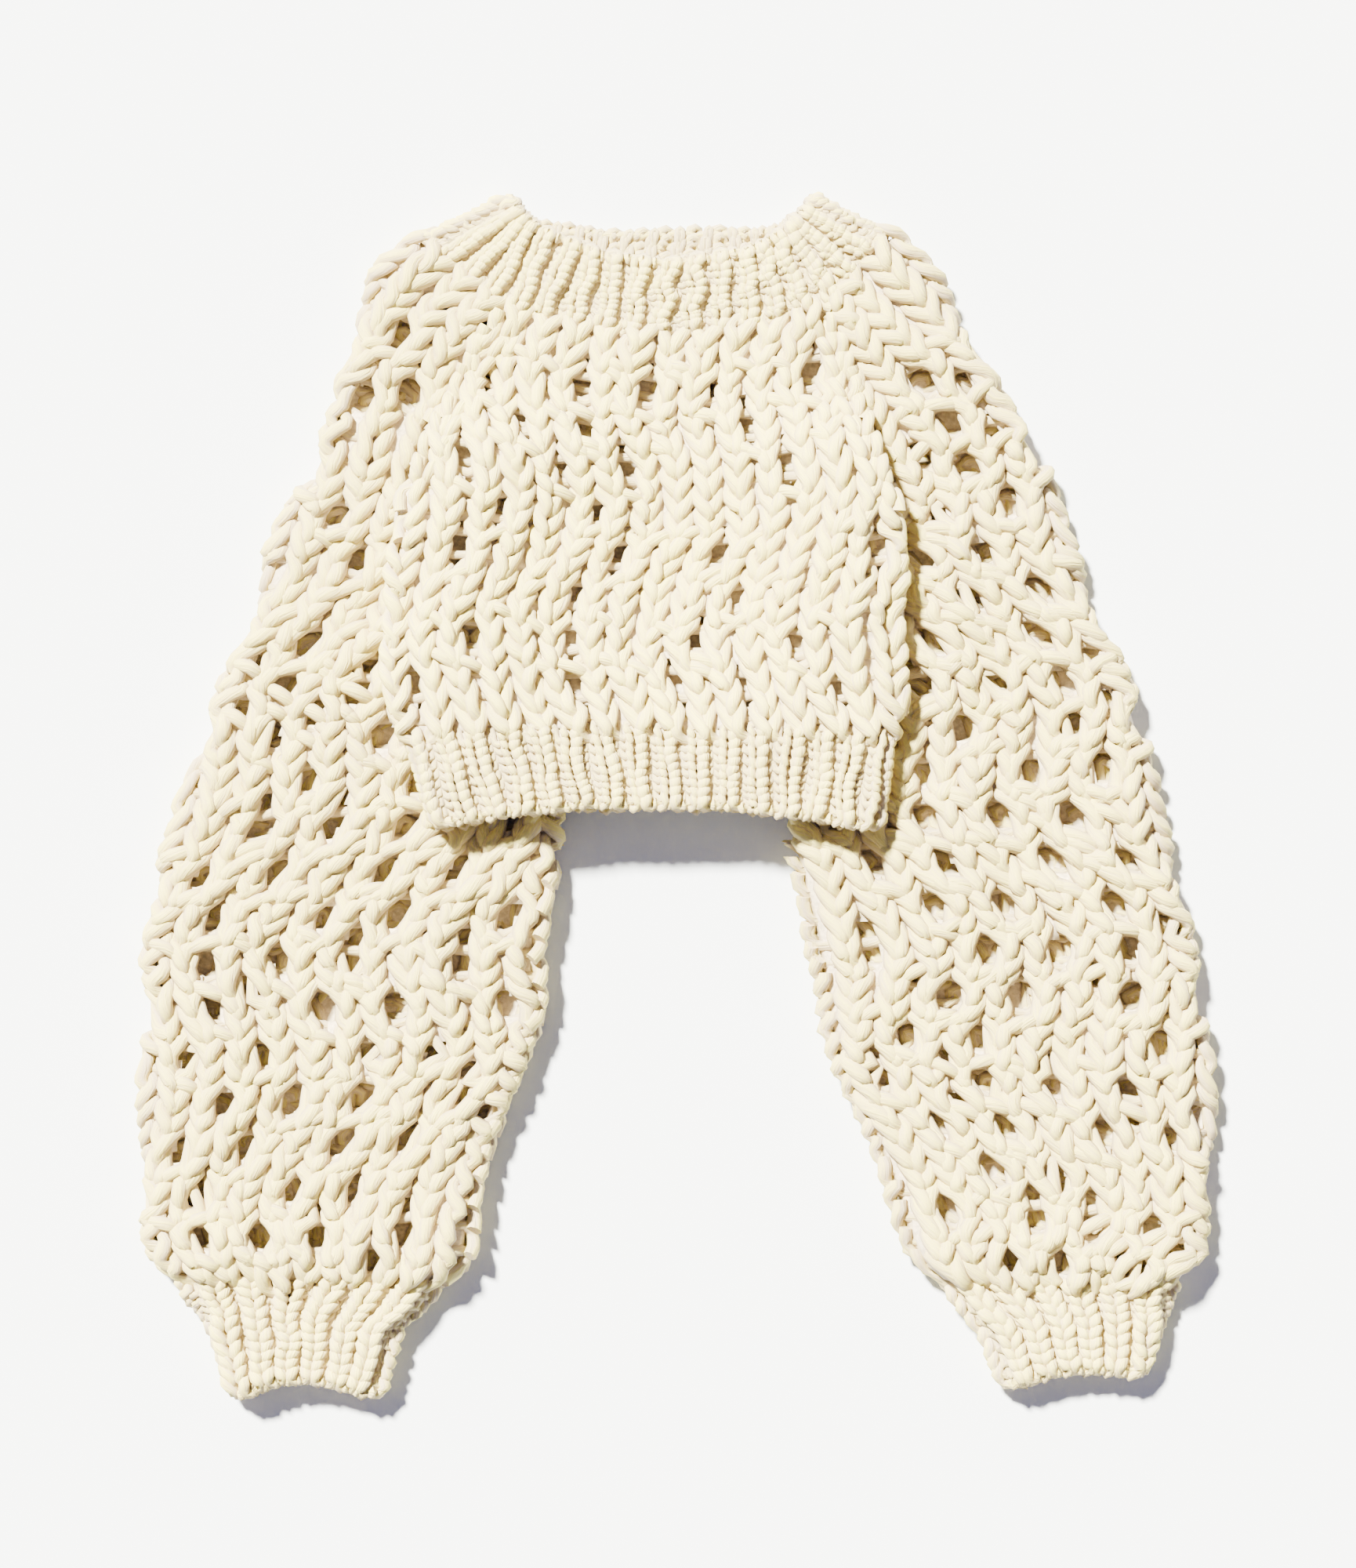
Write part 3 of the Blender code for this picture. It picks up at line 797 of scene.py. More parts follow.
def knit_course(strands, cloth, knit, number, first, last, holes=None, closed=False,
                tuck=1.5, seed=1):
    """Lays one course of loops as a centre-line from wale first to wale last.

    Each loop comes up from behind close to its middle, leans out in front as one leg of a
    V, and turns over behind the next course.
    """
    count = max(3, int(round((last - first) * knit.points)))
    wale = np.linspace(first, last, count + 1)
    if closed:
        wale = wale[:-1]
    turn = 2 * math.pi * wale
    width = cloth.wale_width((number + 0.5) * knit.pitch)
    leg = np.floor(2 * wale + 1e-6).astype(int)
    leg -= leg.min()
    hand = np.random.RandomState(seed * 1000 + number).uniform(-1.0, 1.0, (4, leg.max() + 1))
    front = np.sin(turn) ** 2
    across = wale + knit.swing * (1.0 + knit.uneven * hand[0, leg]) * np.sin(2 * turn)
    across = across + UNEVEN_REACH * knit.uneven / width * hand[1, leg] * front
    down = (number + 0.5) * knit.pitch + 0.5 * knit.loop * knit.pitch * np.cos(turn)
    height = knit.depth * (1.0 - 2.0 * np.cos(turn) ** 4)
    height = height + UNEVEN_REACH * knit.uneven * hand[2, leg] * front
    height += OVERLAP * np.cos(turn) * front
    if not knit.rib:
        across = across + WALE_CLOSE * np.sin(turn)
        height -= WALE_RELIEF * np.cos(2 * math.pi * across)
    thick = knit.radius * (1.0 - knit.plump + 2.0 * knit.plump * front)
    thick = thick * (1.0 + UNEVEN_THICK * knit.uneven * hand[3, leg] * front)
    if knit.rib:
        odd = np.floor(wale + 1e-6).astype(int) % 2
        height = height * np.minimum(1.0, 1.0 - np.cos(turn))
        cord = height + knit.rib.ridge * front
        ladder = -PURL_DEPTH * height - PURL_SINK * knit.rib.ridge * np.sin(turn / 2) ** 2
        height = np.where(odd == 0, cord, ladder)
        across = across - knit.rib.spread / math.pi * np.cos(math.pi * across)
        share = np.clip(0.5 - 1.5 * np.sin(turn), 0.0, 1.0)
        size = knit.rib.left + (knit.rib.right - knit.rib.left) * share
        thick = thick * np.where(odd == 0, size, knit.rib.purl)
    # The yarn's height in the cloth as a share: the colour ramp paints the low yarn darker as
    # shade.
    lift = height / (knit.depth + 0.5)
    spot = wale * width
    if knit.zigzag:
        chain = LACE_WALES * chain_place(down / knit.pitch - 0.5 - knit.shift[1])
        aside = (wale - knit.shift[0] - chain) / LACE_WALES
        height = height - LATTICE_RELIEF * np.cos(2 * math.pi * aside)
        across = across + wander(cloth, knit, wale, down)
    across = across + DRIFT_ASIDE / width * hand_noise(spot, down, seed)
    down = down + DRIFT_ASIDE * hand_noise(spot, down, seed + 50)
    height = height + DRIFT_HEIGHT * hand_noise(spot, down, seed + 90)
    fine = DRIFT_THICK_SCALE
    thick = thick * (1.0 + DRIFT_THICK * hand_noise(spot * fine, down * fine, seed + 20))
    across, down = opened(cloth, holes, across, down)
    if not closed:
        margin = np.minimum(wale - first, last - wale)
        height = height - tuck * np.exp(-(margin / TUCK_WALES) ** 2)
    place, facing = cloth.at(across, down, height)
    strands.add(place, facing, thick, lift, closed)


def leaning_stitch(strands, cloth, start, end, lift, radius):
    """One stitch of a decrease: it leans over its neighbour, with both ends tucked in."""
    share = np.linspace(0.0, 1.0, LEAN_POINTS)
    bow = np.sin(math.pi * share)
    wale = start[0] + (end[0] - start[0]) * share
    down = start[1] + (end[1] - start[1]) * share - LEAN_BOW * bow
    height = (lift + LEAN_TUCK) * bow ** 0.5 - LEAN_TUCK
    place, facing = cloth.at(wale, down, height)
    # Its height as a share sets its colour: the tucked ends get painted shade.
    strands.add(place, facing, radius * (LEAN_THIN + LEAN_SWELL * bow), height / lift)


def lean_over(strands, cloth, knit, holes, large, seed):
    """Lays the decreases beside the large holes of the lace."""
    random = np.random.RandomState(seed)
    for wale, down, radius, _, tilt in holes:
        if radius < knit.radius * large:
            continue
        way = 1.0 if tilt > 0 else -1.0
        for lean in LACE_LEANS:
            shift = random.uniform(-LEAN_SHIFT, LEAN_SHIFT, 4)
            start = (wale + way * lean.from_wale + shift[0],
                     down + (lean.from_course + shift[1]) * knit.pitch)
            end = (wale + way * lean.to_wale + shift[2],
                   down + (lean.to_course + shift[3]) * knit.pitch)
            lowest = cloth.depth - LEAN_END_MARGIN
            if not all(LEAN_END_MARGIN < down_at < lowest for down_at in (start[1], end[1])):
                continue
            low, high = cloth.limits((start[1] + end[1]) / 2)
            leftmost, rightmost = sorted((start[0], end[0]))
            if leftmost < low + LEAN_EDGE_MARGIN or rightmost > high - LEAN_EDGE_MARGIN:
                continue
            both = np.array([start, end])
            wales, downs = opened(cloth, holes, both[:, 0], both[:, 1])
            size = knit.radius * random.uniform(*LEAN_SIZES)
            leaning_stitch(strands, cloth, (wales[0], downs[0]), (wales[1], downs[1]),
                           knit.depth + LEAN_LIFT, size)


# The raglan chain: one V for each step down, from these wales inside and outside the join,
# and each leg ends close to the join, under the next V. It begins and ends these millimetres
# from the yoke and the underarm. A step is counted in courses, and a leg's length in steps.
RAGLAN_START = 6.0
RAGLAN_STEP = 0.95
RAGLAN_REACHES = (0.75, -0.55)
RAGLAN_SHIFT = 0.06
RAGLAN_CLOSE = 0.10
RAGLAN_SPREAD = 0.12
RAGLAN_LEG = 1.35
RAGLAN_LIFT = 1.8
RAGLAN_THICK = 0.98


def raglan_chain(strands, cloth, knit, until, seed):
    """The chain of stitches that runs down both raglan lines, over the join."""
    random = np.random.RandomState(seed)
    step = RAGLAN_STEP * knit.pitch
    lift = knit.depth + RAGLAN_LIFT
    for number in range(int((until - RAGLAN_START) / step)):
        down = RAGLAN_START + number * step
        low, high = cloth.limits(down)
        for edge, inward in ((low, 1.0), (high, -1.0)):
            for reach in RAGLAN_REACHES:
                shift = random.uniform(-RAGLAN_SHIFT, RAGLAN_SHIFT)
                start = (edge + inward * (reach + shift), down)
                close = RAGLAN_CLOSE + RAGLAN_SPREAD * reach
                end = (edge + inward * close, down + RAGLAN_LEG * step)
                leaning_stitch(strands, cloth, start, end, lift, knit.radius * RAGLAN_THICK)


# The beaded edge: its radius to the rib's, points of the centre-line and millimetres in one
# bead, how far it swings and drifts down the cloth and stands out of it in millimetres, how
# far it leans in wales, and its radius between and at the beads as shares.
BEAD_RADIUS = 1.15
BEAD_POINTS = 6
BEAD_WIDTH = 9.0
BEAD_ALONG = 1.1
BEAD_DRIFT = 0.8
BEAD_HEIGHT = 1.6
BEAD_LEAN = 0.12
BEAD_THIN = 0.72
BEAD_SWELL = 0.45
# The beads' share of height for the colour ramp, which sets how much painted shade they get.
BEAD_LIFT = 0.8


def edge_chain(strands, cloth, down, last, radius, seed):
    """The cast-on or bound-off edge of a ring: a beaded chain, one bead to a stitch."""
    wale = np.linspace(0.0, last, int(last * BEAD_POINTS) + 1)[:-1]
    bead = np.sin(math.pi * wale) ** 2
    drift = BEAD_DRIFT * hand_noise(wale * BEAD_WIDTH, wale, seed)
    along = np.full(len(wale), down) + BEAD_ALONG * (bead - 0.5) + drift
    height = BEAD_HEIGHT * (bead - 0.5)
    place, facing = cloth.at(wale + BEAD_LEAN * np.sin(2 * math.pi * wale), along, height)
    strands.add(place, facing, radius * (BEAD_THIN + BEAD_SWELL * bead), BEAD_LIFT, True)


def add_node(tree, kind, settings=None, inputs=None):
    """Adds a node with its settings, and sets or links its inputs by name or number."""
    node = tree.nodes.new(kind)
    for key, value in (settings or {}).items():
        setattr(node, key, value)
    for key, value in (inputs or {}).items():
        socket = node.inputs[key]
        if isinstance(value, bpy.types.NodeSocket):
            tree.links.new(value, socket)
        else:
            socket.default_value = value
    return node


def yarn_nodes():
    """Node tree that spins a yarn along every centre-line of a mesh of edges."""
    tree = bpy.data.node_groups.new("spin_yarn", "GeometryNodeTree")
    face = tree.interface
    face.new_socket("Geometry", in_out="INPUT", socket_type="NodeSocketGeometry")
    face.new_socket("Sides", in_out="INPUT", socket_type="NodeSocketInt").default_value = 8
    face.new_socket("Plumpness", in_out="INPUT", socket_type="NodeSocketFloat").default_value = 1.0
    face.new_socket("Flatness", in_out="INPUT", socket_type="NodeSocketFloat").default_value = 0.9
    face.new_socket("Wool", in_out="INPUT", socket_type="NodeSocketMaterial")
    face.new_socket("Geometry", in_out="OUTPUT", socket_type="NodeSocketGeometry")
    source = add_node(tree, "NodeGroupInput").outputs
    read = {}
    for title, kind in (("facing", "FLOAT_VECTOR"), ("thickness", "FLOAT"), ("strand", "FLOAT")):
        node = add_node(tree, "GeometryNodeInputNamedAttribute", {"data_type": kind},
                        {"Name": title})
        read[title] = node.outputs["Attribute"]
    line = add_node(tree, "GeometryNodeMeshToCurve", None, {"Mesh": source["Geometry"]})
    line = add_node(tree, "GeometryNodeSetCurveNormal", {"mode": "FREE"},
                    {"Curve": line.outputs[0], "Normal": read["facing"]})
    length = add_node(tree, "GeometryNodeSplineParameter").outputs["Length"]
    along = add_node(tree, "ShaderNodeMath", {"operation": "ADD"}, {0: length, 1: read["strand"]})
    line = add_node(tree, "GeometryNodeStoreNamedAttribute",
                    {"data_type": "FLOAT", "domain": "POINT"},
                    {"Geometry": line.outputs[0], "Name": "along", "Value": along.outputs[0]})
    circle = add_node(tree, "GeometryNodeCurvePrimitiveCircle", None,
                      {"Resolution": source["Sides"], "Radius": 1.0})
    place = add_node(tree, "GeometryNodeInputPosition").outputs[0]
    circle = add_node(tree, "GeometryNodeStoreNamedAttribute",
                      {"data_type": "FLOAT_VECTOR", "domain": "POINT"},
                      {"Geometry": circle.outputs[0], "Name": "round", "Value": place})
    squash = add_node(tree, "ShaderNodeCombineXYZ", None,
                      {"X": source["Flatness"], "Y": 1.0, "Z": 1.0})
    circle = add_node(tree, "GeometryNodeTransform", None,
                      {"Geometry": circle.outputs[0], "Scale": squash.outputs[0]})
    scale = add_node(tree, "ShaderNodeMath", {"operation": "MULTIPLY"},
                     {0: read["thickness"], 1: source["Plumpness"]})
    tube = add_node(tree, "GeometryNodeCurveToMesh", None,
                    {"Curve": line.outputs[0], "Profile Curve": circle.outputs[0],
                     "Scale": scale.outputs[0], "Fill Caps": True})
    tube = add_node(tree, "GeometryNodeSetShadeSmooth", None, {"Geometry": tube.outputs[0]})
    tube = add_node(tree, "GeometryNodeRealizeInstances", None, {"Geometry": tube.outputs[0]})
    tube = add_node(tree, "GeometryNodeSetMaterial", None,
                    {"Geometry": tube.outputs[0], "Material": source["Wool"]})
    add_node(tree, "NodeGroupOutput", None, {0: tube.outputs[0]})
    return tree


def node_tree(name, build):
    """The node group of that name, built once."""
    return bpy.data.node_groups.get(name) or build()


def evaluated(piece, name):
    """A plain mesh object of what a piece's modifiers make, in place of the piece."""
    graph = bpy.context.evaluated_depsgraph_get()
    mesh = bpy.data.meshes.new_from_object(piece.evaluated_get(graph))
    mesh.name = name
    source = piece.data
    bpy.data.objects.remove(piece, do_unlink=True)
    bpy.data.meshes.remove(source)
    result = bpy.data.objects.new(name, mesh)
    bpy.context.scene.collection.objects.link(result)
    return result


def spin(strands, name, sides, flatness, material):
    """Turns the centre-lines of a piece into yarn and rests it on the surface below."""
    piece = bpy.data.objects.new(name + "_lines", strands.mesh(name + "_lines"))
    bpy.context.scene.collection.objects.link(piece)
    modifier = piece.modifiers.new("yarn", "NODES")
    modifier.node_group = node_tree("spin_yarn", yarn_nodes)
    values = {"Sides": sides, "Plumpness": 1.0, "Flatness": flatness, "Wool": material}
    for item in modifier.node_group.interface.items_tree:
        if item.in_out == "INPUT" and item.name in values:
            modifier[item.identifier] = values[item.name]
    piece = evaluated(piece, name)
    rest_on_surface(piece)
    return piece


# What would lie below this height, in millimetres, is squeezed into the room above the floor.
SOFT_HEIGHT = 1.5


def rest_on_surface(piece):
    """Presses the lowest yarn or ground flat where the garment rests."""
    mesh = piece.data
    places = np.empty(len(mesh.vertices) * 3, np.float32)
    mesh.vertices.foreach_get("co", places)
    height = places[2::3] / MM
    low = height < SOFT_HEIGHT
    height[low] = SOFT_HEIGHT * np.exp(np.clip(height[low] / SOFT_HEIGHT - 1.0, -8.0, 0.0))
    places[2::3] = height * MM
    mesh.vertices.foreach_set("co", places)
    mesh.update()


# ---------------------------------------------------------------- ground cloth


# The ground lies this high over a panel's middle surface, in millimetres, and is this thick.
GROUND_LEVEL = -2.0
GROUND_THICK = 2.0
# An opening's radius in millimetres for a hole of no radius, and how much a hole's own adds.
OPENING_LEAST = 4.5
OPENING_SHARE = 0.85
# Millimetres and wales that the ground stays inside a panel's edges.
GROUND_END_MARGIN = 1.0
GROUND_EDGE_MARGIN = 0.05


def ground(cloth, name, holes, step_wale, step_down, closed=False):
    """The thin cloth under one panel's yarn, tinted as painted shade and open at the lace holes.

    Under a panel that shows and round its folds it lies behind the yarn, and in the hidden
    layers it lies in the middle of the yarn. In a ring both layers of it are sunk alike.
    """
    mesh = bmesh.new()
    downs = np.linspace(GROUND_END_MARGIN, cloth.depth - GROUND_END_MARGIN,
                        int(cloth.depth / step_down) + 1)
    if closed:
        numbers = np.linspace(0.0, cloth.wales.max(), int(cloth.wales.max() / step_wale) + 1)[:-1]
    else:
        span = int(np.abs(cloth.wales).max() / step_wale) + 1
        numbers = np.arange(-span, span + 1) * step_wale
    rows = []
    for down in downs:
        low, high = cloth.limits(down)
        if closed:
            wale = numbers
        else:
            wale = np.clip(numbers, low + GROUND_EDGE_MARGIN, high - GROUND_EDGE_MARGIN)
        place, facing = cloth.at(wale, np.full(len(wale), down), np.zeros(len(wale)))
        upward = facing[:, [2]] if closed else np.clip(1.0 + 2.0 * facing[:, [2]], 0.0, 1.0)
        place = place + facing * (GROUND_LEVEL * upward)
        rows.append([mesh.verts.new(point * MM) for point in place])
    count = len(numbers)
    for top, bottom, down in zip(rows, rows[1:], (downs[:-1] + downs[1:]) / 2):
        width = cloth.wale_width(down)
        for k in range(count if closed else count - 1):
            wale = numbers[k] + step_wale / 2
            if holes is not None and len(holes):
                dy = down - holes[:, 1]
                dx = (wale - holes[:, 0]) * width - holes[:, 4] * dy
                reach = OPENING_LEAST + holes[:, 2] * OPENING_SHARE
                if (np.hypot(dx, dy / holes[:, 3]) < reach).any():
                    continue
            after = (k + 1) % count
            sides = (top[k].co - top[after].co, bottom[k].co - bottom[after].co)
            if min(side.length for side in sides) < 1e-5:
                continue
            mesh.faces.new((top[k], bottom[k], bottom[after], top[after]))
    loose = [vertex for vertex in mesh.verts if not vertex.link_faces]
    bmesh.ops.delete(mesh, geom=loose, context="VERTS")
    data = bpy.data.meshes.new(name)
    mesh.to_mesh(data)
    mesh.free()
    data.shade_smooth()
    data.materials.append(painted_shade_ground_wool())
    piece = bpy.data.objects.new(name, data)
    bpy.context.scene.collection.objects.link(piece)
    solid = piece.modifiers.new("thickness", "SOLIDIFY")
    solid.thickness = GROUND_THICK * MM
    solid.offset = 0.0
    piece = evaluated(piece, name)
    rest_on_surface(piece)
    return piece


# ---------------------------------------------------------------- materials

# Level of the colour ramp before the yarn's top, its lift, the streaks and the lumps are added.
# Low levels are painted shade: the yarn's flanks and low parts come out darker and warmer.
RAMP_START = -1.84
# Streaks in one radius of the yarn: each is 1.4 mm wide, coarser than a fibre so that it shows.
STREAKS_ROUND = 3.0
# To the streaks a metre of yarn counts as this many of its radii, which draws them out to
# some 24 mm, and the fibres turn round it by this many radians a metre.
STREAKS_ALONG = 14.0
YARN_TWIST = 45.0
# To a metre of cloth: patches of slightly paler and darker roving, some 33 mm wide, and
# blotches of the ground, some 3 mm wide, a small tuft of fibres.
LUMPS = 30.0
BLOTCHES = 350.0
SHEEN_COLOUR = "#FFF3DC"


def hex_colour(text):
    """An sRGB hex colour in linear light."""
    values = [int(text[i:i + 2], 16) / 255 for i in (1, 3, 5)]
    return tuple(v / 12.92 if v <= 0.04045 else ((v + 0.055) / 1.055) ** 2.4 for v in values)


def new_material(name, roughness, shine):
    """A material with its node tree and its shader."""
    material = bpy.data.materials.new(name)
    material.use_nodes = True
    shader = material.node_tree.nodes["Principled BSDF"]
    shader.inputs["Roughness"].default_value = roughness
    shader.inputs["Specular IOR Level"].default_value = shine
    return material, material.node_tree, shader


def wool_roving(name, raised_colour, painted_half_shade_colour, painted_shade_colour):
    """Undyed single-ply wool roving, barely twisted and hand knitted.

    Matt and soft: fibres run along the yarn and slowly round it as faint streaks, drawn
    1.4 mm wide so that they show. Painted shade makes the yarn warmer and darker at its sides
    and where it dives between its neighbours, and loose fibres give a faint pale sheen.
    """
    material, tree, shader = new_material(name, 0.92, 0.2)
    round_ = add_node(tree, "ShaderNodeAttribute", {"attribute_name": "round"}).outputs["Vector"]
    along = add_node(tree, "ShaderNodeAttribute", {"attribute_name": "along"}).outputs["Fac"]
    lift = add_node(tree, "ShaderNodeAttribute", {"attribute_name": "lift"}).outputs["Fac"]
    sides = add_node(tree, "ShaderNodeSeparateXYZ", None, {0: round_})
    # How far the yarn faces out of the cloth: tops get the pale wool, flanks get painted shade.
    raised = add_node(tree, "ShaderNodeMath", {"operation": "ABSOLUTE"}, {0: sides.outputs["X"]})
    stretched = add_node(tree, "ShaderNodeMath", {"operation": "MULTIPLY"},
                         {0: along, 1: STREAKS_ALONG})
    fibre = add_node(tree, "ShaderNodeCombineXYZ", None,
                     {"X": sides.outputs["X"], "Y": sides.outputs["Y"], "Z": stretched.outputs[0]})
    twist = add_node(tree, "ShaderNodeMath", {"operation": "MULTIPLY"}, {0: along, 1: YARN_TWIST})
    fibre = add_node(tree, "ShaderNodeVectorRotate", {"rotation_type": "Z_AXIS"},
                     {"Vector": fibre.outputs[0], "Angle": twist.outputs[0]})
    streaks = add_node(tree, "ShaderNodeTexNoise", None,
                       {"Vector": fibre.outputs[0], "Scale": STREAKS_ROUND, "Detail": 4.0,
                        "Roughness": 0.65})
    place = add_node(tree, "ShaderNodeTexCoord").outputs["Object"]
    lumps = add_node(tree, "ShaderNodeTexNoise", None,
                     {"Vector": place, "Scale": LUMPS, "Detail": 2.0})
    level = RAMP_START
    for value, share in ((raised.outputs[0], 1.10), (lift, 0.30), (streaks.outputs["Fac"], 2.5),
                         (lumps.outputs["Fac"], 0.30)):
        level = add_node(tree, "ShaderNodeMath", {"operation": "MULTIPLY_ADD"},
                         {0: value, 1: share, 2: level}).outputs[0]
    # Painted shade: from darker, warmer wool where the yarn dives, through its flanks, to its
    # tops.
    ramp = add_node(tree, "ShaderNodeValToRGB", None, {"Fac": level})
    ramp.color_ramp.elements[0].position = 0.0
    ramp.color_ramp.elements[0].color = (*painted_shade_colour, 1.0)
    ramp.color_ramp.elements[1].position = 1.0
    ramp.color_ramp.elements[1].color = (*raised_colour, 1.0)
    ramp.color_ramp.elements.new(0.55).color = (*painted_half_shade_colour, 1.0)
    tree.links.new(ramp.outputs["Color"], shader.inputs["Base Color"])
    relief = add_node(tree, "ShaderNodeBump", None,
                      {"Strength": 0.9, "Distance": 1.8 * MM, "Height": streaks.outputs["Fac"]})
    tree.links.new(relief.outputs["Normal"], shader.inputs["Normal"])
    shader.inputs["Sheen Weight"].default_value = 0.1
    shader.inputs["Sheen Roughness"].default_value = 0.6
    shader.inputs["Sheen Tint"].default_value = (*hex_colour(SHEEN_COLOUR), 1.0)
    return material


def wool_ground(name, colour):
    """Painted shade: the same wool deep between stitches, matt and mottled by crossing fibres."""
    material, tree, shader = new_material(name, 0.95, 0.1)
    place = add_node(tree, "ShaderNodeTexCoord").outputs["Object"]
    mottle = add_node(tree, "ShaderNodeTexNoise", None,
                      {"Vector": place, "Scale": BLOTCHES, "Detail": 3.0})
    ramp = add_node(tree, "ShaderNodeValToRGB", None, {"Fac": mottle.outputs["Fac"]})
    ramp.color_ramp.elements[0].position = 0.35
    ramp.color_ramp.elements[0].color = (*(value * 0.7 for value in colour), 1.0)
    ramp.color_ramp.elements[1].position = 0.65
    ramp.color_ramp.elements[1].color = (*colour, 1.0)
    tree.links.new(ramp.outputs["Color"], shader.inputs["Base Color"])
    return material


def paper_floor(name, colour):
    """Matt white paper: flat and even, with no shine."""
    material, _, shader = new_material(name, 0.95, 0.0)
    shader.inputs["Base Color"].default_value = (*colour, 1.0)
    return material


def material_named(name, build, *details):
    """The material of that name, built once."""
    return bpy.data.materials.get(name) or build(name, *details)


# ---------------------------------------------------------------- settings


def length_setting(name, description, value, least, most):
    """A length that the user may change, in millimetres here and metres in the property."""
    return FloatProperty(name=name, description=description, default=value * MM,
                         min=least * MM, max=most * MM, unit="LENGTH", precision=4)


def count_setting(name, description, value, least):
    """A number of points that the user may change."""
    return IntProperty(name=name, description=description, default=value, min=least, max=32)


def colour_setting(name, description, value):
    """A colour that the user may change, from its sRGB hex value."""
    return FloatVectorProperty(name=name, description=description, default=hex_colour(value),
                               subtype="COLOR", min=0.0, max=1.0)


class BoleroYarn(bpy.types.PropertyGroup):
    """Sizes of the yarn and the stitches."""

    radius: length_setting(
        "Lace yarn radius", "Half the width of the yarn in the lace", 4.3, 2, 8)
    sleeve_wale: length_setting(
        "Sleeve wale", "Width of one stitch of the sleeves", 24.0, 8, 40)
    sleeve_course: length_setting(
        "Sleeve course", "Height of one stitch of the sleeves", 15.2, 6, 30)
    body_wale: length_setting(
        "Body wale", "Width of one stitch of the front and back", 21.5, 8, 40)
    body_course: length_setting(
        "Body course", "Height of one stitch of the front and back", 15.2, 6, 30)
    upper_points: count_setting(
        "Points in a stitch", "Points of a stitch's centre-line where it shows", 18, 8)
    under_points: count_setting(
        "Points in a hidden stitch", "The same on the under layers", 10, 6)


class BoleroColours(bpy.types.PropertyGroup):
    """Colours of the wool. The sleeves' open lace lets light through and looks darker, so the
    sleeves get a darker copy of the same wool as painted shade.
    """

    raised: colour_setting("Raised wool", "Top of the yarn in close lace and rib", "#F2E58C")
    # Painted shade: middle and deep colour the yarn's flanks and dives darker and warmer.
    middle: colour_setting("Middle wool", "Flanks of that yarn", "#E1D096")
    deep: colour_setting("Deep wool", "The same yarn where it dives", "#D0BFA2")
    # Painted shade: the sleeves' copy of the same wool, darker all over for their open lace.
    painted_shade_sleeve_raised: colour_setting("Raised open wool", "Top of the sleeves' yarn", "#E5D886")
    painted_shade_sleeve_middle: colour_setting("Middle open wool", "Flanks of the sleeves' yarn", "#D7C68E")
    painted_shade_sleeve_deep: colour_setting("Deep open wool", "The sleeves' yarn where it dives", "#CAB99C")
    # Painted shade: the ground's tan stands for the shade deep between and behind the stitches.
    ground: colour_setting("Ground", "The wool between and behind the stitches", "#E2D3BA")
    floor: colour_setting("Floor", "The paper that the garment lies on", "#EAF0FF")


# ---------------------------------------------------------------- pieces

# The camera, in metres: it looks straight down and sees this length of the garment from this
# distance, on a sensor of this many millimetres.
CAMERA_PLACE = (0.0003, 0.0043, 2.3)
SEEN_LENGTH = 1.032
SEEN_DISTANCE = 2.27
SENSOR = 36.0
FLOOR_REACH = 15.0
# One soft sun shines towards the lower right, under a faint, slightly blue sky. What the
# camera itself sees of the world is bright, so that the floor looks white to its edges.
SUN_STRENGTH = 41.0
SUN_COLOUR = (1.0, 0.955, 0.77)
SUN_DEGREES = 7.0
SUN_WAY = (0.54, -0.80, -1.0)
SKY_COLOUR = (0.94, 0.90, 1.34, 1.0)
SKY_STRENGTH = 0.25
SEEN_STRENGTH = 7.5

ROOT = "root"
# Steps in which a ring is built from its seam to its edge.
RING_STEPS = 6


def lace_wool():
    tint = bpy.context.scene.bolero_colours
    return material_named("wool_roving_hand_knit_lace", wool_roving,
                          tint.raised, tint.middle, tint.deep)


# The same wool in a darker copy for the sleeves: painted shade.
def painted_shade_sleeve_wool():
    tint = bpy.context.scene.bolero_colours
    return material_named("wool_roving_open_lace", wool_roving,
                          tint.painted_shade_sleeve_raised, tint.painted_shade_sleeve_middle, tint.painted_shade_sleeve_deep)


def rib_wool():
    tint = bpy.context.scene.bolero_colours
    return material_named("wool_roving_hand_knit_rib", wool_roving,
                          tint.raised, tint.middle, tint.deep)


def painted_shade_ground_wool():
    tint = bpy.context.scene.bolero_colours
    return material_named("wool_depth_between_stitches", wool_ground, tint.ground)


def declare(ground_piece, yarn_pieces, node):
    """Puts a panel's pieces on the frame and hides the model's part of that name."""
    for piece in [ground_piece] + yarn_pieces:
        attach(piece, ROOT)
    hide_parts(node)


def body_cloth(layer, wale):
    """The front's or the back's surface, from the yoke to the hem band."""
    sections = []
    for index, row in enumerate(finer(BODY[:HEM_TOP_ROW + 1], UNDERARM_ROW)):
        sections.append(body_section(row, layer, 1.0 if index > UNDERARM_ROW else 0.0))
    middle = len(sections[0]) // 2
    folds = BODY_FOLDS if layer > 0 else ()
    return Cloth(sections, by_arc(middle, lambda cloth, row: wale), folds, bulge=2.0)


def cuff_top(tube):
    """The row at which the rib begins: it runs a little up into the sleeve."""
    return mixed(tube[-3], tube[-2], 0.5)


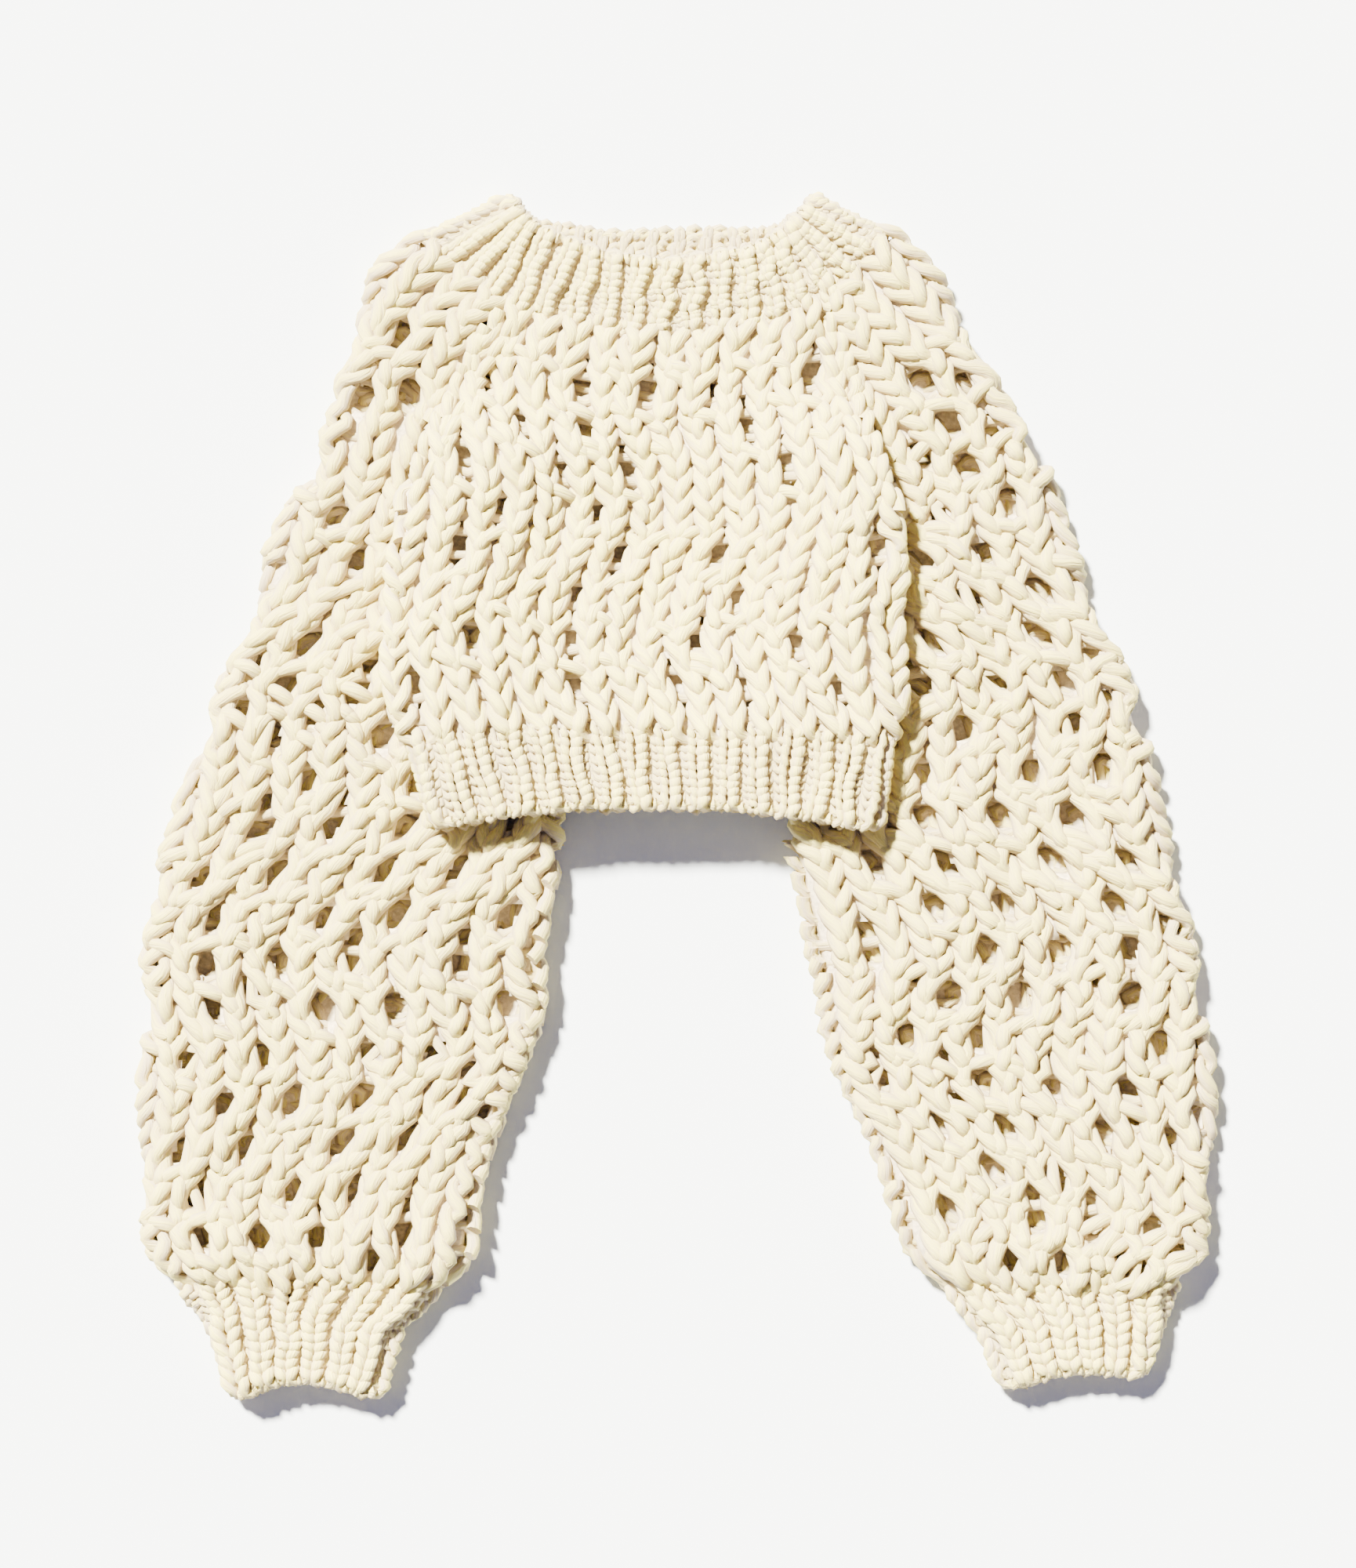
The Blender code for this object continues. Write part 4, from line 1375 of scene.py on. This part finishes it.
def sleeve_cloth(side, cap, tube, wale):
    """A sleeve's surface, from the yoke to the place where the cuff's rib begins."""
    rows = []
    for outer, body_row in zip(cap, BODY):
        inner = (getattr(body_row, side + "_x"), getattr(body_row, side + "_y"))
        rows.append(TubeRow(*outer, *inner))
    rows = rows + tube[:-2] + [cuff_top(tube)]
    sections = []
    for index, row in enumerate(finer(rows, UNDERARM_ROW)):
        sections.append(sleeve_section(row, 1.0 if index > UNDERARM_ROW else 0.0))
    middle = len(sections[0]) // 2

    def width(cloth, row):
        """Full width down to the widest row, then drawn in evenly to the cuff."""
        lengths = cloth.arcs[:, -1]
        widest = int(np.argmax(lengths))
        return wale if row <= widest else wale * lengths[row] / lengths[widest]

    return Cloth(sections, by_arc(middle, width), SLEEVE_FOLDS, gathers=3.0, bulge=1.5)


def knit_panel(cloth, knit, under, holes, seed):
    """Courses of a panel on its upper and under layers, as two sets of strands."""
    upper_strands, under_strands = Strands(), Strands()
    for number in range(int(round(cloth.depth / knit.pitch))):
        low, high = cloth.limits((number + 0.5) * knit.pitch)
        if under is None:
            knit_course(upper_strands, cloth, knit, number, low, high, holes, seed=seed)
            continue
        knit_course(upper_strands, cloth, knit, number, low, UNDER_FROM_WALE, holes,
                    tuck=0.0, seed=seed)
        knit_course(under_strands, cloth, under, number, UNDER_FROM_WALE, high, holes,
                    tuck=0.0, seed=seed)
    return upper_strands, under_strands


class BOLERO_OT_body(bpy.types.Operator):
    """Knits the lace front and back"""

    bl_idname = "bolero.body"
    bl_label = "Knit front and back"

    def execute(self, context):
        yarn = context.scene.bolero_yarn
        radius = yarn.radius / MM
        for node, layer, points, sides in (
            ("front", 1, yarn.upper_points, FRONT_SIDES),
            ("back", -1, yarn.under_points, PLAIN_SIDES),
        ):
            cloth = body_cloth(layer, yarn.body_wale / MM)
            pitch = cloth.depth / round(cloth.depth / (yarn.body_course / MM))
            knit = BODY_KNIT._replace(pitch=pitch, radius=radius * BODY_KNIT.radius, points=points)
            holes = lace_holes(cloth, knit, BODY_LACE, seed=11 + layer)
            strands, _ = knit_panel(cloth, knit, None, holes, seed=5 + layer)
            if layer > 0:
                lean_over(strands, cloth, knit, holes, LARGE_BODY_HOLE, seed=61)
                until = float(cloth.downs[UNDERARM_ROW]) - RAGLAN_START
                raglan_chain(strands, cloth, knit, until, seed=63)
            piece = spin(strands, node + "_yarn", sides, LACE_FLATNESS, lace_wool())
            open_at = holes if layer > 0 else None
            base = ground(cloth, node + "_ground", open_at, step_wale=0.25, step_down=pitch / 4)
            declare(base, [piece], node)
        return {"FINISHED"}


class BOLERO_OT_sleeves(bpy.types.Operator):
    """Knits the two lace balloon sleeves"""

    bl_idname = "bolero.sleeves"
    bl_label = "Knit sleeves"

    def execute(self, context):
        yarn = context.scene.bolero_yarn
        radius = yarn.radius / MM
        for node, side, cap, tube, seed in (
            ("sleeve_left", "left", CAP_LEFT, TUBE_LEFT, 21),
            ("sleeve_right", "right", CAP_RIGHT, TUBE_RIGHT, 31),
        ):
            cloth = sleeve_cloth(side, cap, tube, yarn.sleeve_wale / MM)
            pitch = cloth.depth / round(cloth.depth / (yarn.sleeve_course / MM))
            knit = SLEEVE_KNIT._replace(pitch=pitch, radius=radius * SLEEVE_KNIT.radius,
                                        points=yarn.upper_points)
            under = knit._replace(points=yarn.under_points)
            holes = lace_holes(cloth, knit, SLEEVE_LACE, seed)
            upper, lower = knit_panel(cloth, knit, under, holes, seed)
            on_top = holes[holes[:, 0] < UPPER_TO_WALE]
            lean_over(upper, cloth, knit, on_top, LARGE_SLEEVE_HOLE, seed=seed + 9)
            pieces = [
                spin(upper, node + "_yarn_upper", SLEEVE_SIDES, LACE_FLATNESS, painted_shade_sleeve_wool()),
                spin(lower, node + "_yarn_under", PLAIN_SIDES, LACE_FLATNESS, painted_shade_sleeve_wool()),
            ]
            base = ground(cloth, node + "_ground", on_top, step_wale=0.5, step_down=pitch / 2)
            declare(base, pieces, node)
        return {"FINISHED"}


def rib_piece(node, cloth, total, knit, seed, chain_at):
    """A ribbed ring: its yarn, its beaded edge at the share chain_at down it and its ground."""
    pitch = cloth.depth / round(cloth.depth / knit.pitch)
    knit = knit._replace(pitch=pitch)
    strands = Strands()
    for number in range(int(round(cloth.depth / pitch))):
        knit_course(strands, cloth, knit, number, 0.0, float(total), closed=True, seed=seed)
    bead = knit.radius * BEAD_RADIUS
    edge_chain(strands, cloth, chain_at * cloth.depth, float(total), bead, seed)
    piece = spin(strands, node + "_yarn", PLAIN_SIDES, RIB_FLATNESS, rib_wool())
    base = ground(cloth, node + "_ground", None, step_wale=1.0, step_down=pitch, closed=True)
    declare(base, [piece], node)


class BOLERO_OT_ribs(bpy.types.Operator):
    """Knits the ribbed yoke, hem and cuffs"""

    bl_idname = "bolero.ribs"
    bl_label = "Knit yoke, hem and cuffs"

    def execute(self, context):
        shares = [step / RING_STEPS for step in range(RING_STEPS + 1)]
        sections = [ring(yoke_section(share)) for share in shares]
        yoke = Cloth(sections, by_last_row(YOKE_STITCHES))
        rib_piece("yoke_rib", yoke, YOKE_STITCHES, YOKE_KNIT, seed=41, chain_at=0.0)
        sections = []
        for share in shares:
            row = mixed(BODY[HEM_TOP_ROW], BODY[HEM_TOP_ROW + 1], share)
            front = body_section(row, 1, 1.0)
            back = body_section(row, -1, 1.0)
            sections.append(ring(front + back[::-1]))
        hem = Cloth(sections, by_share(HEM_STITCHES))
        rib_piece("hem_rib", hem, HEM_STITCHES, HEM_KNIT, seed=42, chain_at=1.0)
        for node, tube, edge, seed in (
            ("cuff_left", TUBE_LEFT, CUFF_LEFT, 43),
            ("cuff_right", TUBE_RIGHT, CUFF_RIGHT, 44),
        ):
            rows = [cuff_top(tube), tube[-2], mixed(tube[-2], tube[-1], 0.5)]
            sections = [ring(cuff_section(row, edge, 0.0)) for row in rows]
            sections += [ring(cuff_section(tube[-1], edge, share)) for share in shares]
            cuff = Cloth(sections, by_share(CUFF_STITCHES), bulge=2.0)
            rib_piece(node, cuff, CUFF_STITCHES, CUFF_KNIT, seed, chain_at=1.0)
        return {"FINISHED"}


class BOLERO_OT_stage(bpy.types.Operator):
    """Sets the camera, the pale floor and the studio light"""

    bl_idname = "bolero.stage"
    bl_label = "Set camera, floor and light"

    def execute(self, context):
        scene = context.scene
        camera_data = bpy.data.cameras.new("camera")
        camera = bpy.data.objects.new("camera", camera_data)
        scene.collection.objects.link(camera)
        camera.location = CAMERA_PLACE
        camera_data.lens = SENSOR * SEEN_DISTANCE / SEEN_LENGTH
        scene.camera = camera
        mesh = bmesh.new()
        bmesh.ops.create_grid(mesh, x_segments=1, y_segments=1, size=FLOOR_REACH)
        data = bpy.data.meshes.new("floor")
        mesh.to_mesh(data)
        mesh.free()
        tint = scene.bolero_colours.floor
        data.materials.append(material_named("matt_white_paper", paper_floor, tint))
        floor = bpy.data.objects.new("floor", data)
        scene.collection.objects.link(floor)
        key_data = bpy.data.lights.new("key", "SUN")
        key_data.energy = SUN_STRENGTH
        key_data.color = SUN_COLOUR
        key_data.angle = math.radians(SUN_DEGREES)
        key = bpy.data.objects.new("key", key_data)
        scene.collection.objects.link(key)
        key.rotation_euler = Vector(SUN_WAY).to_track_quat("-Z", "Y").to_euler()
        world = bpy.data.worlds.new("studio")
        scene.world = world
        world.use_nodes = True
        tree = world.node_tree
        background = tree.nodes["Background"]
        background.inputs["Color"].default_value = SKY_COLOUR
        background.inputs["Strength"].default_value = SKY_STRENGTH
        bright = add_node(tree, "ShaderNodeBackground", None, {"Strength": SEEN_STRENGTH})
        seen = add_node(tree, "ShaderNodeLightPath").outputs["Is Camera Ray"]
        both = add_node(tree, "ShaderNodeMixShader", None,
                        {0: seen, 1: background.outputs[0], 2: bright.outputs[0]})
        tree.links.new(both.outputs[0], tree.nodes["World Output"].inputs["Surface"])
        return {"FINISHED"}


class BOLERO_PT_panel(bpy.types.Panel):
    """Lists the sizes and the steps of the bolero"""

    bl_idname = "BOLERO_PT_panel"
    bl_label = "Knit bolero"
    bl_space_type = "VIEW_3D"
    bl_region_type = "UI"
    bl_category = "Bolero"

    def draw(self, context):
        scene = context.scene
        settings = ((scene.bolero_yarn, BoleroYarn), (scene.bolero_colours, BoleroColours))
        for group, kind in settings:
            for name in kind.__annotations__:
                self.layout.prop(group, name)
        for step in STEPS:
            self.layout.operator(step.bl_idname)


STEPS = (BOLERO_OT_stage, BOLERO_OT_sleeves, BOLERO_OT_body, BOLERO_OT_ribs)
CLASSES = (BoleroYarn, BoleroColours) + STEPS + (BOLERO_PT_panel,)


def register():
    for item in CLASSES:
        bpy.utils.register_class(item)
    bpy.types.Scene.bolero_yarn = PointerProperty(type=BoleroYarn)
    bpy.types.Scene.bolero_colours = PointerProperty(type=BoleroColours)


def unregister():
    del bpy.types.Scene.bolero_colours
    del bpy.types.Scene.bolero_yarn
    for item in reversed(CLASSES):
        bpy.utils.unregister_class(item)


def main():
    register()
    bpy.ops.bolero.stage()
    bpy.ops.bolero.sleeves()
    bpy.ops.bolero.body()
    bpy.ops.bolero.ribs()


if __name__ == "__main__":
    main()
